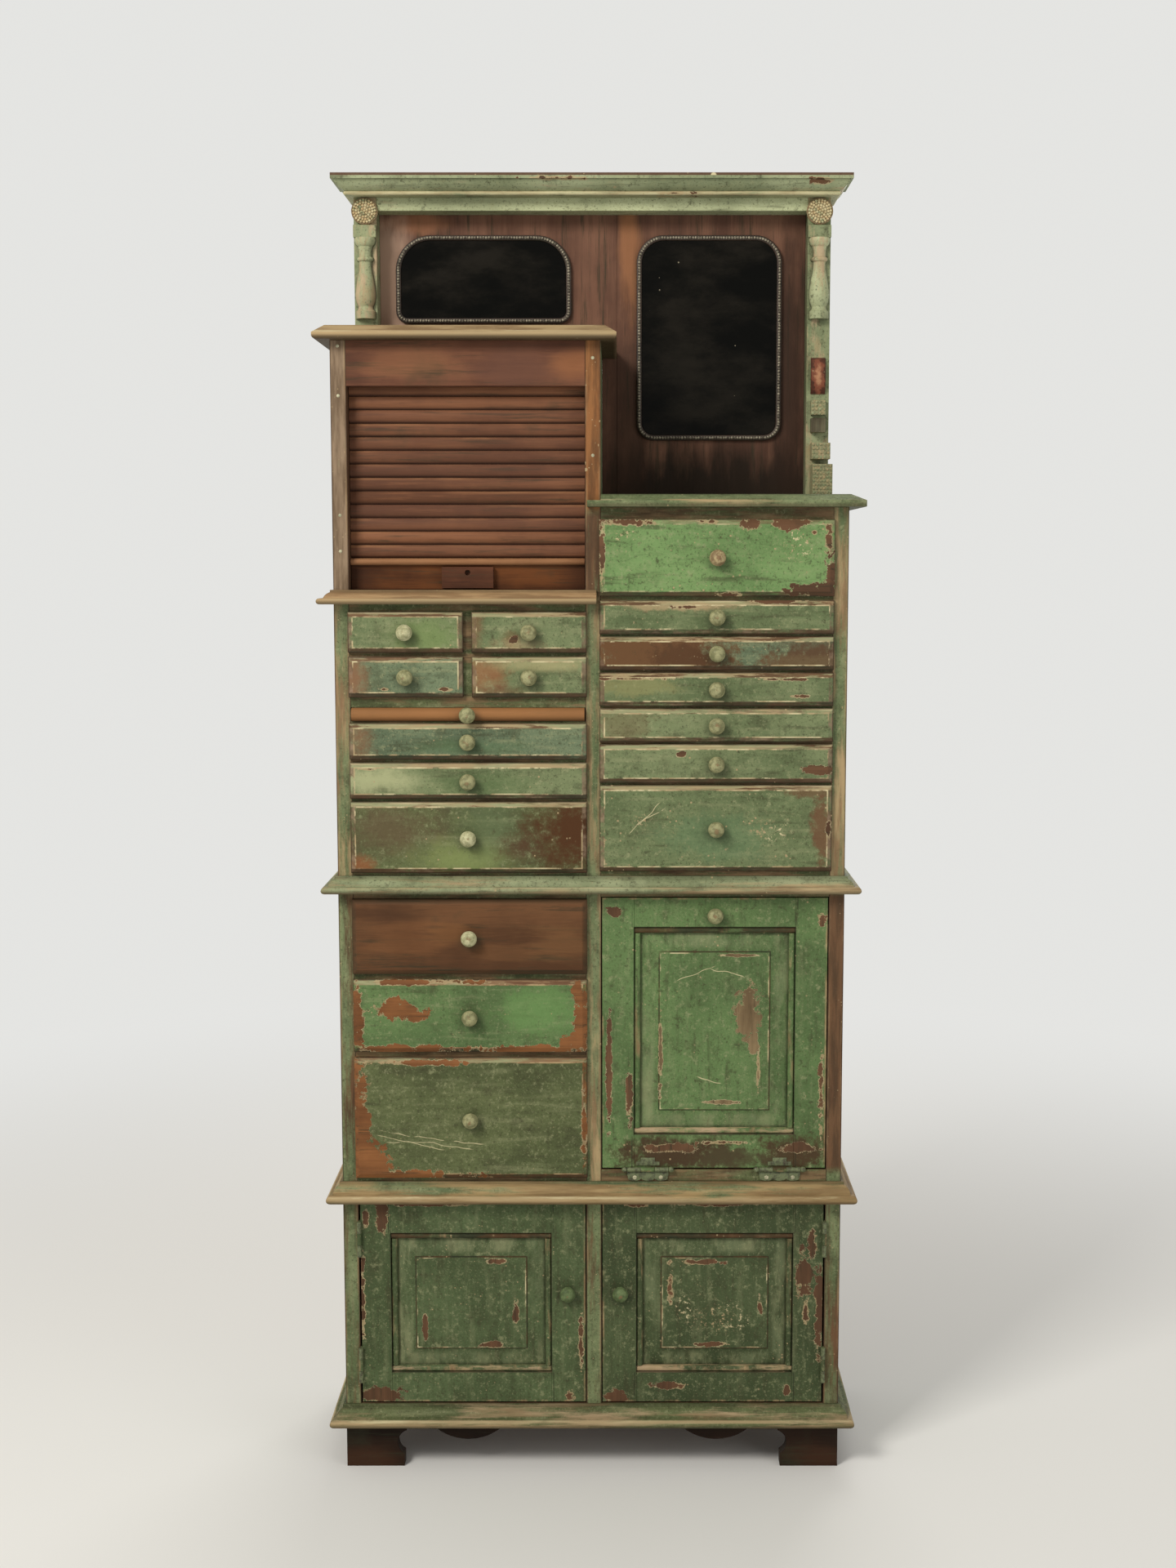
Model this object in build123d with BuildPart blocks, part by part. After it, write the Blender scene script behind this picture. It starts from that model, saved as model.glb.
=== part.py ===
# Painted dental cabinet: a case on bracket feet with two doors, a fall front, seventeen drawers,
# a writing slide, a roll front and a mirrored gallery. Millimetres, +Z up, front towards -Y.
import os
from math import asin, ceil, cos, sin

from build123d import *

os.makedirs("parts", exist_ok=True)

# Case and boards
case_width = 725.0
case_depth = 280.0
side_board = 22.0
partition_board = 22.0
partition_offset = 3.0
back_board = 12.0
deck_board = 20.0
plank_count = 3
seam = 0.2
run_clearance = 0.3

# Storey heights, from the floor up
foot_height = 66.0
base_moulding_height = 31.0
door_storey = 308.0
lower_moulding_height = 29.5
lower_storey = 425.5
waist_moulding_height = 24.0
upper_left_storey = 387.0
sill_height = 20.0
roll_storey = 345.0
roll_top_thickness = 20.0
counter_thickness = 18.0
counter_drop = 231.5
cornice_height = 29.0
frieze_height = 19.0
gallery_height = 191.5

# Mouldings
moulding_reach = 22.0
moulding_nose_share = 0.82
moulding_round_share = 0.42
moulding_neck_share = 0.60
moulding_lip_share = 0.20
moulding_cove_share = 0.84
sill_return = 6.0

# Drawers
drawer_lip = 2.0
drawer_front_thickness = 10.0
drawer_bevel_width = 7.0
drawer_bevel_depth = 4.0
drawer_side = 8.0
drawer_bottom = 5.0
drawer_bottom_rise = 4.0
drawer_back_room = 33.0
drawer_side_clearance = 1.2
drawer_head_clearance = 4.0
small_divider = 14.0
small_divider_show = 12.0

# Drawer fronts, each bank from the bottom up
lower_sill = 6.5
lower_gap = 8.0
lower_deep_front = 179.0
lower_middle_front = 106.0
lower_top_front = 109.0
left_sill = 5.0
left_gap = 4.5
left_deep_front = 102.0
left_tray_front = 51.5
small_front = 57.5
small_gap = 5.5
slide_thickness = 19.0
slide_rail_show = 15.0
right_sill = 7.5
right_gap = 3.3
right_top_gap = 5.5
right_deep_front = 123.5
right_low_tray_front = 55.0
right_tray_front = 47.5
right_top_front = 107.5

# Writing slide
slide_back_room = 28.0
slide_edge = 9.0

# Turned knobs
knob_radius = 11.5
knob_length = 22.0
knob_base_radius = 7.5
knob_neck_radius = 5.0
knob_base_share = 0.14
knob_neck_share = 0.27
knob_flare_share = 0.40
knob_under_share = 0.90
knob_rim_share = 0.62

# Doors and fall front
door_thickness = 20.0
door_gap = 2.5
door_side_gap = 1.5
door_outer_stile = 44.0
door_inner_stile = 50.0
door_top_rail = 47.0
door_bottom_rail = 45.0
fall_stile = 46.0
fall_top_rail = 43.0
fall_bottom_rail = 50.0
bead_width = 9.0
bead_rise = 7.0
bead_round = 4.0
panel_thickness = 7.0
panel_bevel_width = 27.0
panel_bevel_rise = 6.0
panel_field_step = 1.4
panel_back_inset = 4.0
door_knob_inset = 26.0
door_knob_rise = 168.0
fall_knob_drop = 24.5

# Butt hinges of the doors
hinge_length = 53.0
hinge_leaf = 1.2
hinge_leaf_depth = 18.0
hinge_leaf_gap = 0.2
hinge_barrel_radius = 3.3
hinge_pin_radius = 1.5
hinge_pin_clearance = 0.3
hinge_knuckle_gap = 0.4
hinge_stand_off = 4.0
hinge_low_share = 0.19
hinge_high_share = 0.82

# Surface hinges of the fall front
fall_hinge_length = 60.0
fall_hinge_inset = 66.0
fall_hinge_leaf = 1.5
fall_hinge_drop = 12.5
fall_hinge_ball = 4.2
fall_ball_share = 0.9
fall_rail_height = 17.0
fall_rail_depth = 20.0
fall_gap = 2.6

# Roll front
slat_group_count = 5
slat_headroom = 30.0
slat_pitch = 18.8
slat_gap = 0.4
slat_thickness = 7.0
slat_edge = 3.5
slat_end_clearance = 0.8
roll_setback = 20.5
roll_rail_height = 44.0
roll_rail_thickness = 12.0
lip_height = 9.7
lip_reach = 8.0
lock_width = 73.0
lock_height = 30.0
lock_reach = 9.0
lock_rise = 1.8
keyhole_radius = 3.8
keyhole_depth = 6.0
keyhole_rise_share = 0.73
head_rail_height = 62.5
head_rail_thickness = 18.0

# Counter and roll top
counter_bevel_width = 20.0
counter_bevel_height = 9.0
counter_nose_run = 19.0
roll_top_right_reach = 22.0
roll_top_bevel_width = 16.0
roll_top_bevel_height = 11.0
roll_top_under_round = 5.0

# Gallery
gallery_panel_depth = 34.0
gallery_panel_thickness = 14.0
panel_batten_width = 24.0
panel_batten_thickness = 5.0
post_depth = 70.0
post_width = 34.0
post_inset = 8.5
post_block_height = 18.0
post_block_reach = 9.0
vase_height = 118.0
vase_radius = 15.5
rosette_radius = 20.0
rosette_thickness = 10.0
rosette_edge = 5.0
plinth_height = 50.0
plinth_spread = 2.0
plinth_reach = 45.0
seed_block_rise = 58.0
seed_block_height = 24.0
seed_block_reach = 30.0
tile_rise = 98.0
tile_height = 21.0
tile_reach = 18.0
leaf_block_rise = 124.0
leaf_block_height = 22.0
leaf_block_reach = 14.0
tablet_rise = 154.0
tablet_height = 56.0
tablet_reach = 9.0
carving_margin = 6.0
cornice_reach = 24.0
cornice_stand = 5.0
cornice_bead_share = 0.20
cornice_cove_share = 0.72
cornice_bead_reach_share = 0.30
cornice_cove_reach_share = 0.85

# Mirrors
mirror_glass = 4.0
mirror_frame_width = 8.0
mirror_frame_thickness = 9.0
mirror_head_room = 38.0
small_mirror_side_margin = 32.0
small_mirror_top_round = 45.0
small_mirror_low_round = 10.0
small_mirror_rise = 39.5
tall_mirror_inner_margin = 60.0
tall_mirror_outer_margin = 43.0
tall_mirror_height = 288.0
tall_mirror_top_round = 33.0
tall_mirror_low_round = 18.0

# Bracket feet and apron
foot_width = 85.0
foot_thickness = 20.0
foot_toe_share = 0.29
foot_notch_share = 0.60
foot_neck_share = 0.83
foot_notch_depth = 9.5
foot_brow_reach = 3.5
side_foot_length = 80.0
apron_thickness = 14.0
apron_strip = 9.0
apron_dip = 23.0
apron_run = 45.0
lobe_width = 102.0
lobe_low_share = 0.6

# Levels and faces worked out from the sizes above
half_width = case_width / 2
front_reach = drawer_front_thickness + knob_length + seam * 2
front = (front_reach - case_depth) / 2
back = front + case_depth
back_face = back - back_board
left_inner = -half_width + side_board
right_inner = half_width - side_board
partition_left = partition_offset - partition_board / 2
partition_right = partition_offset + partition_board / 2
base_top = foot_height + base_moulding_height
lower_bottom = base_top + door_storey
lower_top = lower_bottom + lower_moulding_height
waist_bottom = lower_top + lower_storey
waist_top = waist_bottom + waist_moulding_height
sill_bottom = waist_top + upper_left_storey
sill_top = sill_bottom + sill_height
roll_ceiling = sill_top + roll_storey
roll_top_level = roll_ceiling + roll_top_thickness
counter_top_level = roll_top_level - counter_drop
counter_bottom = counter_top_level - counter_thickness
gallery_top = roll_top_level + gallery_height + frieze_height
cornice_level = gallery_top + cornice_height
panel_face = back - gallery_panel_depth
post_face = back - post_depth
post_outer = half_width - post_inset
post_inner = post_outer - post_width


# Helpers


def board(x0, x1, y0, y1, z0, z1):
    # A plain board between two corners, added to the part being built
    with Locations(((x0 + x1) / 2, (y0 + y1) / 2, (z0 + z1) / 2)):
        Box(x1 - x0, y1 - y0, z1 - z0)


def save(builder, name):
    builder.part.label = name
    export_step(builder.part, f"parts/{name}.step")


def raised_slab(x0, x1, z0, z1, face, slab, bevel_width, bevel_rise):
    # A slab whose back lies on the plane y = face, with a bevel running up to a raised field
    middle = ((x0 + x1) / 2, (z0 + z1) / 2)
    with BuildPart() as raised:
        with BuildSketch(Plane.XZ.offset(-face)):
            with Locations(middle):
                Rectangle(x1 - x0, z1 - z0)
        extrude(amount=slab)
        with BuildSketch(Plane.XZ.offset(-face + slab)):
            with Locations(middle):
                Rectangle(x1 - x0, z1 - z0)
        with BuildSketch(Plane.XZ.offset(-face + slab + bevel_rise)):
            with Locations(middle):
                Rectangle(x1 - x0 - bevel_width * 2, z1 - z0 - bevel_width * 2)
        loft(ruled=True)
    return raised.part


def moulding_face(reach, height):
    # Section of a case moulding: a round nose below, a cove above it and a small lip on top
    nose = reach * moulding_nose_share
    round_top = height * moulding_round_share
    neck = reach * moulding_neck_share
    lip = reach * moulding_lip_share
    cove_top = height * moulding_cove_share
    with BuildSketch() as section:
        with BuildLine():
            Line((0, 0), (nose, 0))
            ThreePointArc((nose, 0), (reach, round_top / 2), (nose, round_top))
            Line((nose, round_top), (neck, round_top))
            RadiusArc((neck, round_top), (lip, cove_top), -max(neck, cove_top - round_top))
            Line((lip, cove_top), (lip, height))
            Line((lip, height), (0, height))
            Line((0, height), (0, 0))
        make_face()
    return section.sketch


def cornice_face(reach, height):
    # Section of the cornice: a bead at the foot, a cove leaning outwards and a square top edge
    bead_top = height * cornice_bead_share
    bead = reach * cornice_bead_reach_share
    root = bead - bead_top / 2
    cove_top = height * cornice_cove_share
    cove = reach * cornice_cove_reach_share
    with BuildSketch() as section:
        with BuildLine():
            Line((0, 0), (root, 0))
            ThreePointArc((root, 0), (bead, bead_top / 2), (root, bead_top))
            RadiusArc((root, bead_top), (cove, cove_top), -height)
            Line((cove, cove_top), (reach, cove_top))
            Line((reach, cove_top), (reach, height))
            Line((reach, height), (0, height))
            Line((0, height), (0, 0))
        make_face()
    return section.sketch


def front_run(section, reach, x0, x1, face, level, mitre_left, mitre_right):
    # A moulding along the front, between two corners, with its ends mitred or square
    start = x0 - reach * mitre_left
    end = x1 + reach * mitre_right
    with BuildPart() as run:
        with BuildSketch(Plane((end, face, level), x_dir=(0, -1, 0), z_dir=(-1, 0, 0))):
            add(section)
        extrude(amount=end - start)
        if mitre_left:
            split(bisect_by=Plane((x0 + seam, face, level), z_dir=(1, -1, 0)), keep=Keep.TOP)
        if mitre_right:
            split(bisect_by=Plane((x1 - seam, face, level), z_dir=(-1, -1, 0)), keep=Keep.TOP)
    return run.part


def left_run(section, reach, x_face, face, level, end):
    # A moulding back along the left side, mitred to meet the front one
    with BuildPart() as run:
        with BuildSketch(Plane((x_face, face - reach, level), x_dir=(-1, 0, 0), z_dir=(0, 1, 0))):
            add(section)
        extrude(amount=end - face + reach)
        split(bisect_by=Plane((x_face, face, level), z_dir=(-1, 1, 0)), keep=Keep.TOP)
    return run.part


def case_moulding(height, level):
    section = moulding_face(moulding_reach, height)
    with BuildPart() as moulding:
        add(front_run(section, moulding_reach, -half_width, half_width, front, level, True, True))
        add(left_run(section, moulding_reach, -half_width, front, level, back))
        mirror(moulding.solids().sort_by(Axis.X)[0], about=Plane.YZ)
    return moulding


def turned_knob():
    # One knob on the axis -Y, standing on the plane y = 0
    base = knob_length * knob_base_share
    neck = knob_length * knob_neck_share
    flare = knob_length * knob_flare_share
    rim = knob_length * knob_rim_share
    under = (knob_radius * knob_under_share, -(flare + rim) / 2)
    dome = knob_length - rim
    dome_radius = (knob_radius**2 + dome**2) / (dome * 2)
    half_angle = asin(knob_radius / dome_radius) / 2
    dome_centre = dome_radius - knob_length
    dome_middle = (dome_radius * sin(half_angle), dome_centre - dome_radius * cos(half_angle))
    with BuildPart() as knob:
        with BuildSketch():
            with BuildLine():
                Line((0, 0), (knob_base_radius, 0))
                Line((knob_base_radius, 0), (knob_base_radius, -base))
                ThreePointArc(
                    (knob_base_radius, -base),
                    (knob_neck_radius, -neck),
                    (knob_base_radius, -flare),
                )
                ThreePointArc((knob_base_radius, -flare), under, (knob_radius, -rim))
                ThreePointArc((knob_radius, -rim), dome_middle, (0, -knob_length))
                Line((0, -knob_length), (0, 0))
            make_face()
        revolve(axis=Axis.Y)
    return knob.part


knob_shape = turned_knob()


def place_knob(x, y, z):
    with Locations((x, y - seam, z)):
        add(knob_shape)


# Feet and apron


def bracket_outline(width, height):
    # Front view of a bracket foot with a scooped inner edge, outer edge at x = 0
    toe = height * foot_toe_share
    notch = height * foot_notch_share
    brow = height * foot_neck_share
    with BuildSketch() as outline:
        with BuildLine():
            Line((0, 0), (width, 0))
            Line((width, 0), (width, toe))
            ThreePointArc(
                (width, toe),
                (width - foot_notch_depth, notch),
                (width + foot_brow_reach, brow),
            )
            Line((width + foot_brow_reach, brow), (width + foot_brow_reach, height))
            Line((width + foot_brow_reach, height), (0, height))
            Line((0, height), (0, 0))
        make_face()
    return outline.sketch


with BuildPart() as bracket_feet:
    with BuildSketch(Plane((-half_width, front, 0), x_dir=(1, 0, 0), z_dir=(0, -1, 0))):
        add(bracket_outline(foot_width, foot_height))
    extrude(amount=-foot_thickness)
    side_start = front + foot_thickness + seam
    with BuildSketch(Plane((-half_width, side_start, 0), x_dir=(0, 1, 0), z_dir=(1, 0, 0))):
        add(bracket_outline(side_foot_length - foot_thickness, foot_height))
    extrude(amount=foot_thickness)
    with BuildSketch(Plane((-half_width, back, 0), x_dir=(0, -1, 0), z_dir=(-1, 0, 0))):
        add(bracket_outline(side_foot_length, foot_height))
    extrude(amount=-foot_thickness)
    mirror(about=Plane.YZ)
save(bracket_feet, "bracket_feet")

lobe_start = -half_width + foot_width + foot_brow_reach + seam
lobe_left = lobe_start + apron_run
strip_level = foot_height - apron_strip
with BuildPart() as apron_lobes:
    with BuildSketch(Plane.XZ.offset(-front)):
        with BuildLine():
            Line((lobe_start, foot_height), (lobe_start, strip_level))
            Line((lobe_start, strip_level), (lobe_left, strip_level))
            ThreePointArc(
                (lobe_left, strip_level),
                (lobe_left + lobe_width * lobe_low_share, foot_height - apron_dip),
                (lobe_left + lobe_width, foot_height),
            )
            Line((lobe_left + lobe_width, foot_height), (lobe_start, foot_height))
        make_face()
    extrude(amount=-apron_thickness)
    mirror(about=Plane.YZ)
save(apron_lobes, "apron_lobes")

# Mouldings round the case

save(case_moulding(base_moulding_height, foot_height), "base_moulding")
save(case_moulding(lower_moulding_height, lower_bottom), "lower_moulding")
save(case_moulding(waist_moulding_height, waist_bottom), "waist_moulding")

sill_section = moulding_face(moulding_reach, sill_height)
sill_end = partition_right - sill_return
with BuildPart() as roll_sill:
    add(front_run(sill_section, moulding_reach, -half_width, sill_end, front, sill_bottom, True, False))
    add(left_run(sill_section, moulding_reach, -half_width, front, sill_bottom, back))
save(roll_sill, "roll_sill")

# Upright boards of the case

with BuildPart() as left_side:
    board(-half_width, left_inner, front, back, foot_height, roll_ceiling)
save(left_side, "left_side")

with BuildPart() as right_side:
    board(right_inner, half_width, front, back, foot_height, counter_bottom)
save(right_side, "right_side")

with BuildPart() as centre_partition:
    board(partition_left, partition_right, front, back, foot_height, roll_ceiling)
save(centre_partition, "centre_partition")

with BuildPart() as case_back:
    for x0, x1, z1 in (
        (left_inner, partition_left, roll_ceiling),
        (partition_right, right_inner, counter_bottom),
    ):
        plank = (x1 - x0) / plank_count
        for i in range(plank_count):
            board(x0 + plank * i, x0 + plank * (i + 1) - seam, back_face, back, foot_height, z1)
save(case_back, "case_back")

# Decks between the storeys

with BuildPart() as deck_boards:
    for x0, x1 in ((left_inner, partition_left), (partition_right, right_inner)):
        for deck_top in (base_top, lower_top, waist_top):
            board(x0, x1, front, back_face, deck_top - deck_board, deck_top)
save(deck_boards, "deck_boards")

with BuildPart() as roll_deck:
    board(left_inner, partition_left, front, back_face, sill_bottom, sill_top)
save(roll_deck, "roll_deck")


# Drawer banks: each front's bottom and top, from the bottom up


def stack(level, fronts, gaps):
    rows = []
    for height, gap in zip(fronts, gaps):
        rows.append((level, level + height))
        level += height + gap
    return rows


lower_rows = stack(
    lower_top + lower_sill,
    (lower_deep_front, lower_middle_front, lower_top_front),
    (lower_gap, lower_gap, 0),
)
left_rows = stack(
    waist_top + left_sill,
    (left_deep_front, left_tray_front, left_tray_front),
    (left_gap, left_gap, 0),
)
slide_bottom = left_rows[-1][1] - drawer_lip + left_gap + run_clearance
slide_top = slide_bottom + slide_thickness
small_rows = stack(
    slide_top + slide_rail_show,
    (small_front, small_front),
    (small_gap, 0),
)
right_rows = stack(
    waist_top + right_sill,
    (right_deep_front, right_low_tray_front) + (right_tray_front,) * 4 + (right_top_front,),
    (right_gap,) * 5 + (right_top_gap, 0),
)
small_middle = (left_inner + partition_left) / 2


def bank_dividers(x0, x1, rows, floor_level, ceiling_level):
    # Full-depth boards under, between and over the drawers of one bank
    board(x0, x1, front, back_face, floor_level, rows[0][0] + drawer_lip)
    for under, over in zip(rows, rows[1:]):
        board(x0, x1, front, back_face, under[1] - drawer_lip, over[0] + drawer_lip)
    board(x0, x1, front, back_face, rows[-1][1] - drawer_lip, ceiling_level)


with BuildPart() as drawer_dividers:
    bank_dividers(left_inner, partition_left, lower_rows, lower_top, waist_top - deck_board)
    bank_dividers(left_inner, partition_left, left_rows, waist_top, slide_bottom - run_clearance)
    bank_dividers(left_inner, partition_left, small_rows, slide_top + run_clearance, sill_bottom)
    bank_dividers(partition_right, right_inner, right_rows, waist_top, counter_bottom)
    for bottom, top in small_rows:
        board(
            small_middle - small_divider / 2,
            small_middle + small_divider / 2,
            front,
            back_face,
            bottom + drawer_lip + seam,
            top - drawer_lip - seam,
        )
save(drawer_dividers, "drawer_dividers")


def make_drawer(name, x0, x1, row, lip_left, lip_right):
    # A lipped front, its knob and an open box of boards in the space behind it, from x0 to x1
    bottom, top = row
    box_left = x0 + drawer_side_clearance
    box_right = x1 - drawer_side_clearance
    box_bottom = bottom + drawer_lip + run_clearance
    box_top = top - drawer_lip - drawer_head_clearance
    box_front = front + seam
    box_back = back_face - drawer_back_room
    inner_left = box_left + drawer_side + seam
    inner_right = box_right - drawer_side - seam
    floor_bottom = box_bottom + drawer_bottom_rise
    floor_top = floor_bottom + drawer_bottom
    slab = drawer_front_thickness - drawer_bevel_depth
    with BuildPart() as drawer:
        add(
            raised_slab(
                x0 - lip_left,
                x1 + lip_right,
                bottom,
                top,
                front - seam,
                slab,
                drawer_bevel_width,
                drawer_bevel_depth,
            )
        )
        board(box_left, box_left + drawer_side, box_front, box_back, box_bottom, box_top)
        board(box_right - drawer_side, box_right, box_front, box_back, box_bottom, box_top)
        board(inner_left, inner_right, box_back - drawer_side, box_back, box_bottom, box_top)
        board(inner_left, inner_right, box_front, box_back - drawer_side - seam, floor_bottom, floor_top)
        middle = (x0 - lip_left + x1 + lip_right) / 2
        place_knob(middle, front - drawer_front_thickness - seam, (bottom + top) / 2)
    save(drawer, name)


small_show = (small_divider_show - small_divider) / 2
small_left_end = small_middle - small_divider / 2
small_right_start = small_middle + small_divider / 2
for number, row in enumerate(lower_rows):
    make_drawer(f"lower_drawer_{3 - number}", left_inner, partition_left, row, drawer_lip, drawer_lip)
make_drawer("left_deep_drawer", left_inner, partition_left, left_rows[0], drawer_lip, drawer_lip)
for number, row in enumerate(left_rows[1:]):
    make_drawer(f"left_tray_{2 - number}", left_inner, partition_left, row, drawer_lip, drawer_lip)
for word, row in zip(("low", "high"), small_rows):
    name = f"small_drawer_{word}"
    make_drawer(f"{name}_left", left_inner, small_left_end, row, drawer_lip, -small_show)
    make_drawer(f"{name}_right", small_right_start, partition_left, row, -small_show, drawer_lip)
make_drawer("right_deep_drawer", partition_right, right_inner, right_rows[0], drawer_lip, drawer_lip)
for number, row in enumerate(right_rows[1:-1]):
    make_drawer(f"right_tray_{5 - number}", partition_right, right_inner, row, drawer_lip, drawer_lip)
make_drawer("right_top_drawer", partition_right, right_inner, right_rows[-1], drawer_lip, drawer_lip)

# Writing slide with a half-round front edge

slide_left = left_inner + drawer_side_clearance
slide_right = partition_left - drawer_side_clearance
with BuildPart() as writing_slide:
    board(slide_left, slide_right, front, back_face - slide_back_room, slide_bottom, slide_top)
    with BuildSketch(Plane((slide_right, front - seam, slide_bottom), x_dir=(0, -1, 0), z_dir=(-1, 0, 0))):
        with BuildLine():
            Line((0, 0), (0, slide_thickness))
            ThreePointArc((0, slide_thickness), (slide_edge, slide_thickness / 2), (0, 0))
        make_face()
    extrude(amount=slide_right - slide_left)
    place_knob((slide_left + slide_right) / 2, front - slide_edge - seam, (slide_bottom + slide_top) / 2)
save(writing_slide, "writing_slide")

# Rails across the front: over the doors, under and over the fall front

door_bottom = base_top + door_gap
door_top = lower_bottom - door_gap
fall_rail_top = lower_top + fall_rail_height
fall_bottom = fall_rail_top + fall_gap
fall_top = waist_bottom - lower_gap
with BuildPart() as front_rails:
    for x0, x1 in ((left_inner, partition_left), (partition_right, right_inner)):
        board(x0, x1, front, front + fall_rail_depth, lower_bottom, lower_top - deck_board)
    board(partition_right, right_inner, front, front + fall_rail_depth, lower_top, fall_rail_top)
    rail_bottom = fall_top + door_side_gap
    board(partition_right, right_inner, front, front + fall_rail_depth, rail_bottom, waist_top - deck_board)
save(front_rails, "front_rails")


# Framed doors


def bead_strip(x0, x1, z0, z1, along):
    # A bead round the panel, its front edges rounded over along its length
    rear = front + door_thickness - panel_back_inset - panel_thickness - seam
    with BuildPart() as strip:
        board(x0, x1, rear - bead_rise, rear, z0, z1)
        fillet(strip.faces().sort_by(Axis.Y)[0].edges().filter_by(along), bead_round)
    return strip.part


def framed_door(x0, x1, z0, z1, stile_left, stile_right, rail_top, rail_bottom):
    # Stiles, rails and beads, added to the part being built, and the panel's opening
    open_left = x0 + stile_left
    open_right = x1 - stile_right
    open_bottom = z0 + rail_bottom
    open_top = z1 - rail_top
    rear = front + door_thickness
    board(x0, open_left - seam, front, rear, z0, z1)
    board(open_right + seam, x1, front, rear, z0, z1)
    board(open_left, open_right, front, rear, z0, open_bottom - seam)
    board(open_left, open_right, front, rear, open_top + seam, z1)
    low = open_bottom + bead_width
    high = open_top - bead_width
    add(bead_strip(open_left, open_right, open_bottom, low - seam, Axis.X))
    add(bead_strip(open_left, open_right, high + seam, open_top, Axis.X))
    add(bead_strip(open_left, open_left + bead_width, low, high, Axis.Z))
    add(bead_strip(open_right - bead_width, open_right, low, high, Axis.Z))
    return open_left, open_right, open_bottom, open_top


def door_panel(opening):
    # The raised and fielded panel that fills an opening behind its beads
    open_left, open_right, open_bottom, open_top = opening
    face = front + door_thickness - panel_back_inset
    margin = bead_width + seam
    with BuildPart() as panel:
        board(open_left, open_right, face - panel_thickness, face, open_bottom, open_top)
        add(
            raised_slab(
                open_left + margin,
                open_right - margin,
                open_bottom + margin,
                open_top - margin,
                face,
                panel_thickness + seam,
                panel_bevel_width,
                panel_bevel_rise,
            )
        )
        inset = margin + panel_bevel_width
        field = face - panel_thickness - seam - panel_bevel_rise
        board(
            open_left + inset,
            open_right - inset,
            field - panel_field_step,
            field,
            open_bottom + inset,
            open_top - inset,
        )
    return panel


# Butt hinges: a fixed leaf with two knuckles, a moving leaf with one, and the pin

hinge_gap = hinge_leaf * 2 + hinge_leaf_gap
hinge_axis_x = left_inner + hinge_gap / 2
hinge_axis_y = front - hinge_stand_off
hinge_third = hinge_length / 3
door_height = door_top - door_bottom
hinge_levels = (
    door_bottom + door_height * hinge_low_share - hinge_length / 2,
    door_bottom + door_height * hinge_high_share - hinge_length / 2,
)


def knuckle(x, y, z0, z1, leaf_left, leaf_right):
    # One knuckle bored for the pin, with the web that joins it to its leaf
    with BuildPart() as barrel:
        board(leaf_left, leaf_right, y, front + seam, z0, z1)
        with Locations((x, y, (z0 + z1) / 2)):
            Cylinder(hinge_barrel_radius, z1 - z0)
            Cylinder(hinge_pin_radius + hinge_pin_clearance, z1 - z0, mode=Mode.SUBTRACT)
    return barrel.part


def fixed_leaf(level):
    leaf_right = left_inner + hinge_leaf
    with BuildPart() as leaf:
        board(left_inner, leaf_right, front, front + hinge_leaf_depth, level, level + hinge_length)
        for start in (level, level + hinge_third * 2):
            z0 = start + hinge_knuckle_gap / 2
            z1 = start + hinge_third - hinge_knuckle_gap / 2
            add(knuckle(hinge_axis_x, hinge_axis_y, z0, z1, left_inner, leaf_right))
    return leaf.part


def moving_leaf(level):
    leaf_left = left_inner + hinge_leaf + hinge_leaf_gap
    leaf_right = leaf_left + hinge_leaf - seam
    with BuildPart() as leaf:
        board(leaf_left, leaf_right, front, front + hinge_leaf_depth, level, level + hinge_length)
        z0 = level + hinge_third + hinge_knuckle_gap / 2
        z1 = level + hinge_third * 2 - hinge_knuckle_gap / 2
        add(knuckle(hinge_axis_x, hinge_axis_y, z0, z1, leaf_left, leaf_right))
    return leaf.part


with BuildPart() as door_hinges:
    for hinge_level in hinge_levels:
        add(fixed_leaf(hinge_level))
        with Locations((hinge_axis_x, hinge_axis_y, hinge_level + hinge_length / 2)):
            Cylinder(hinge_pin_radius, hinge_length)
    mirror(about=Plane.YZ)
save(door_hinges, "door_hinges")

left_door_edge = left_inner + hinge_gap
left_door_end = partition_left - door_side_gap
right_door_start = partition_right + door_side_gap
right_door_edge = right_inner - hinge_gap
knob_level = door_bottom + door_knob_rise

with BuildPart() as left_door_frame:
    left_opening = framed_door(
        left_door_edge,
        left_door_end,
        door_bottom,
        door_top,
        door_outer_stile,
        door_inner_stile,
        door_top_rail,
        door_bottom_rail,
    )
    for hinge_level in hinge_levels:
        add(moving_leaf(hinge_level))
    place_knob(left_door_end - door_knob_inset, front, knob_level)
save(left_door_frame, "left_door_frame")
save(door_panel(left_opening), "left_door_panel")

with BuildPart() as right_leaves:
    for hinge_level in hinge_levels:
        add(moving_leaf(hinge_level))
    mirror(about=Plane.YZ, mode=Mode.REPLACE)

with BuildPart() as right_door_frame:
    right_opening = framed_door(
        right_door_start,
        right_door_edge,
        door_bottom,
        door_top,
        door_inner_stile,
        door_outer_stile,
        door_top_rail,
        door_bottom_rail,
    )
    add(right_leaves.part)
    place_knob(right_door_start + door_knob_inset, front, knob_level)
save(right_door_frame, "right_door_frame")
save(door_panel(right_opening), "right_door_panel")

# Fall front with two surface hinges below it

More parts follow.
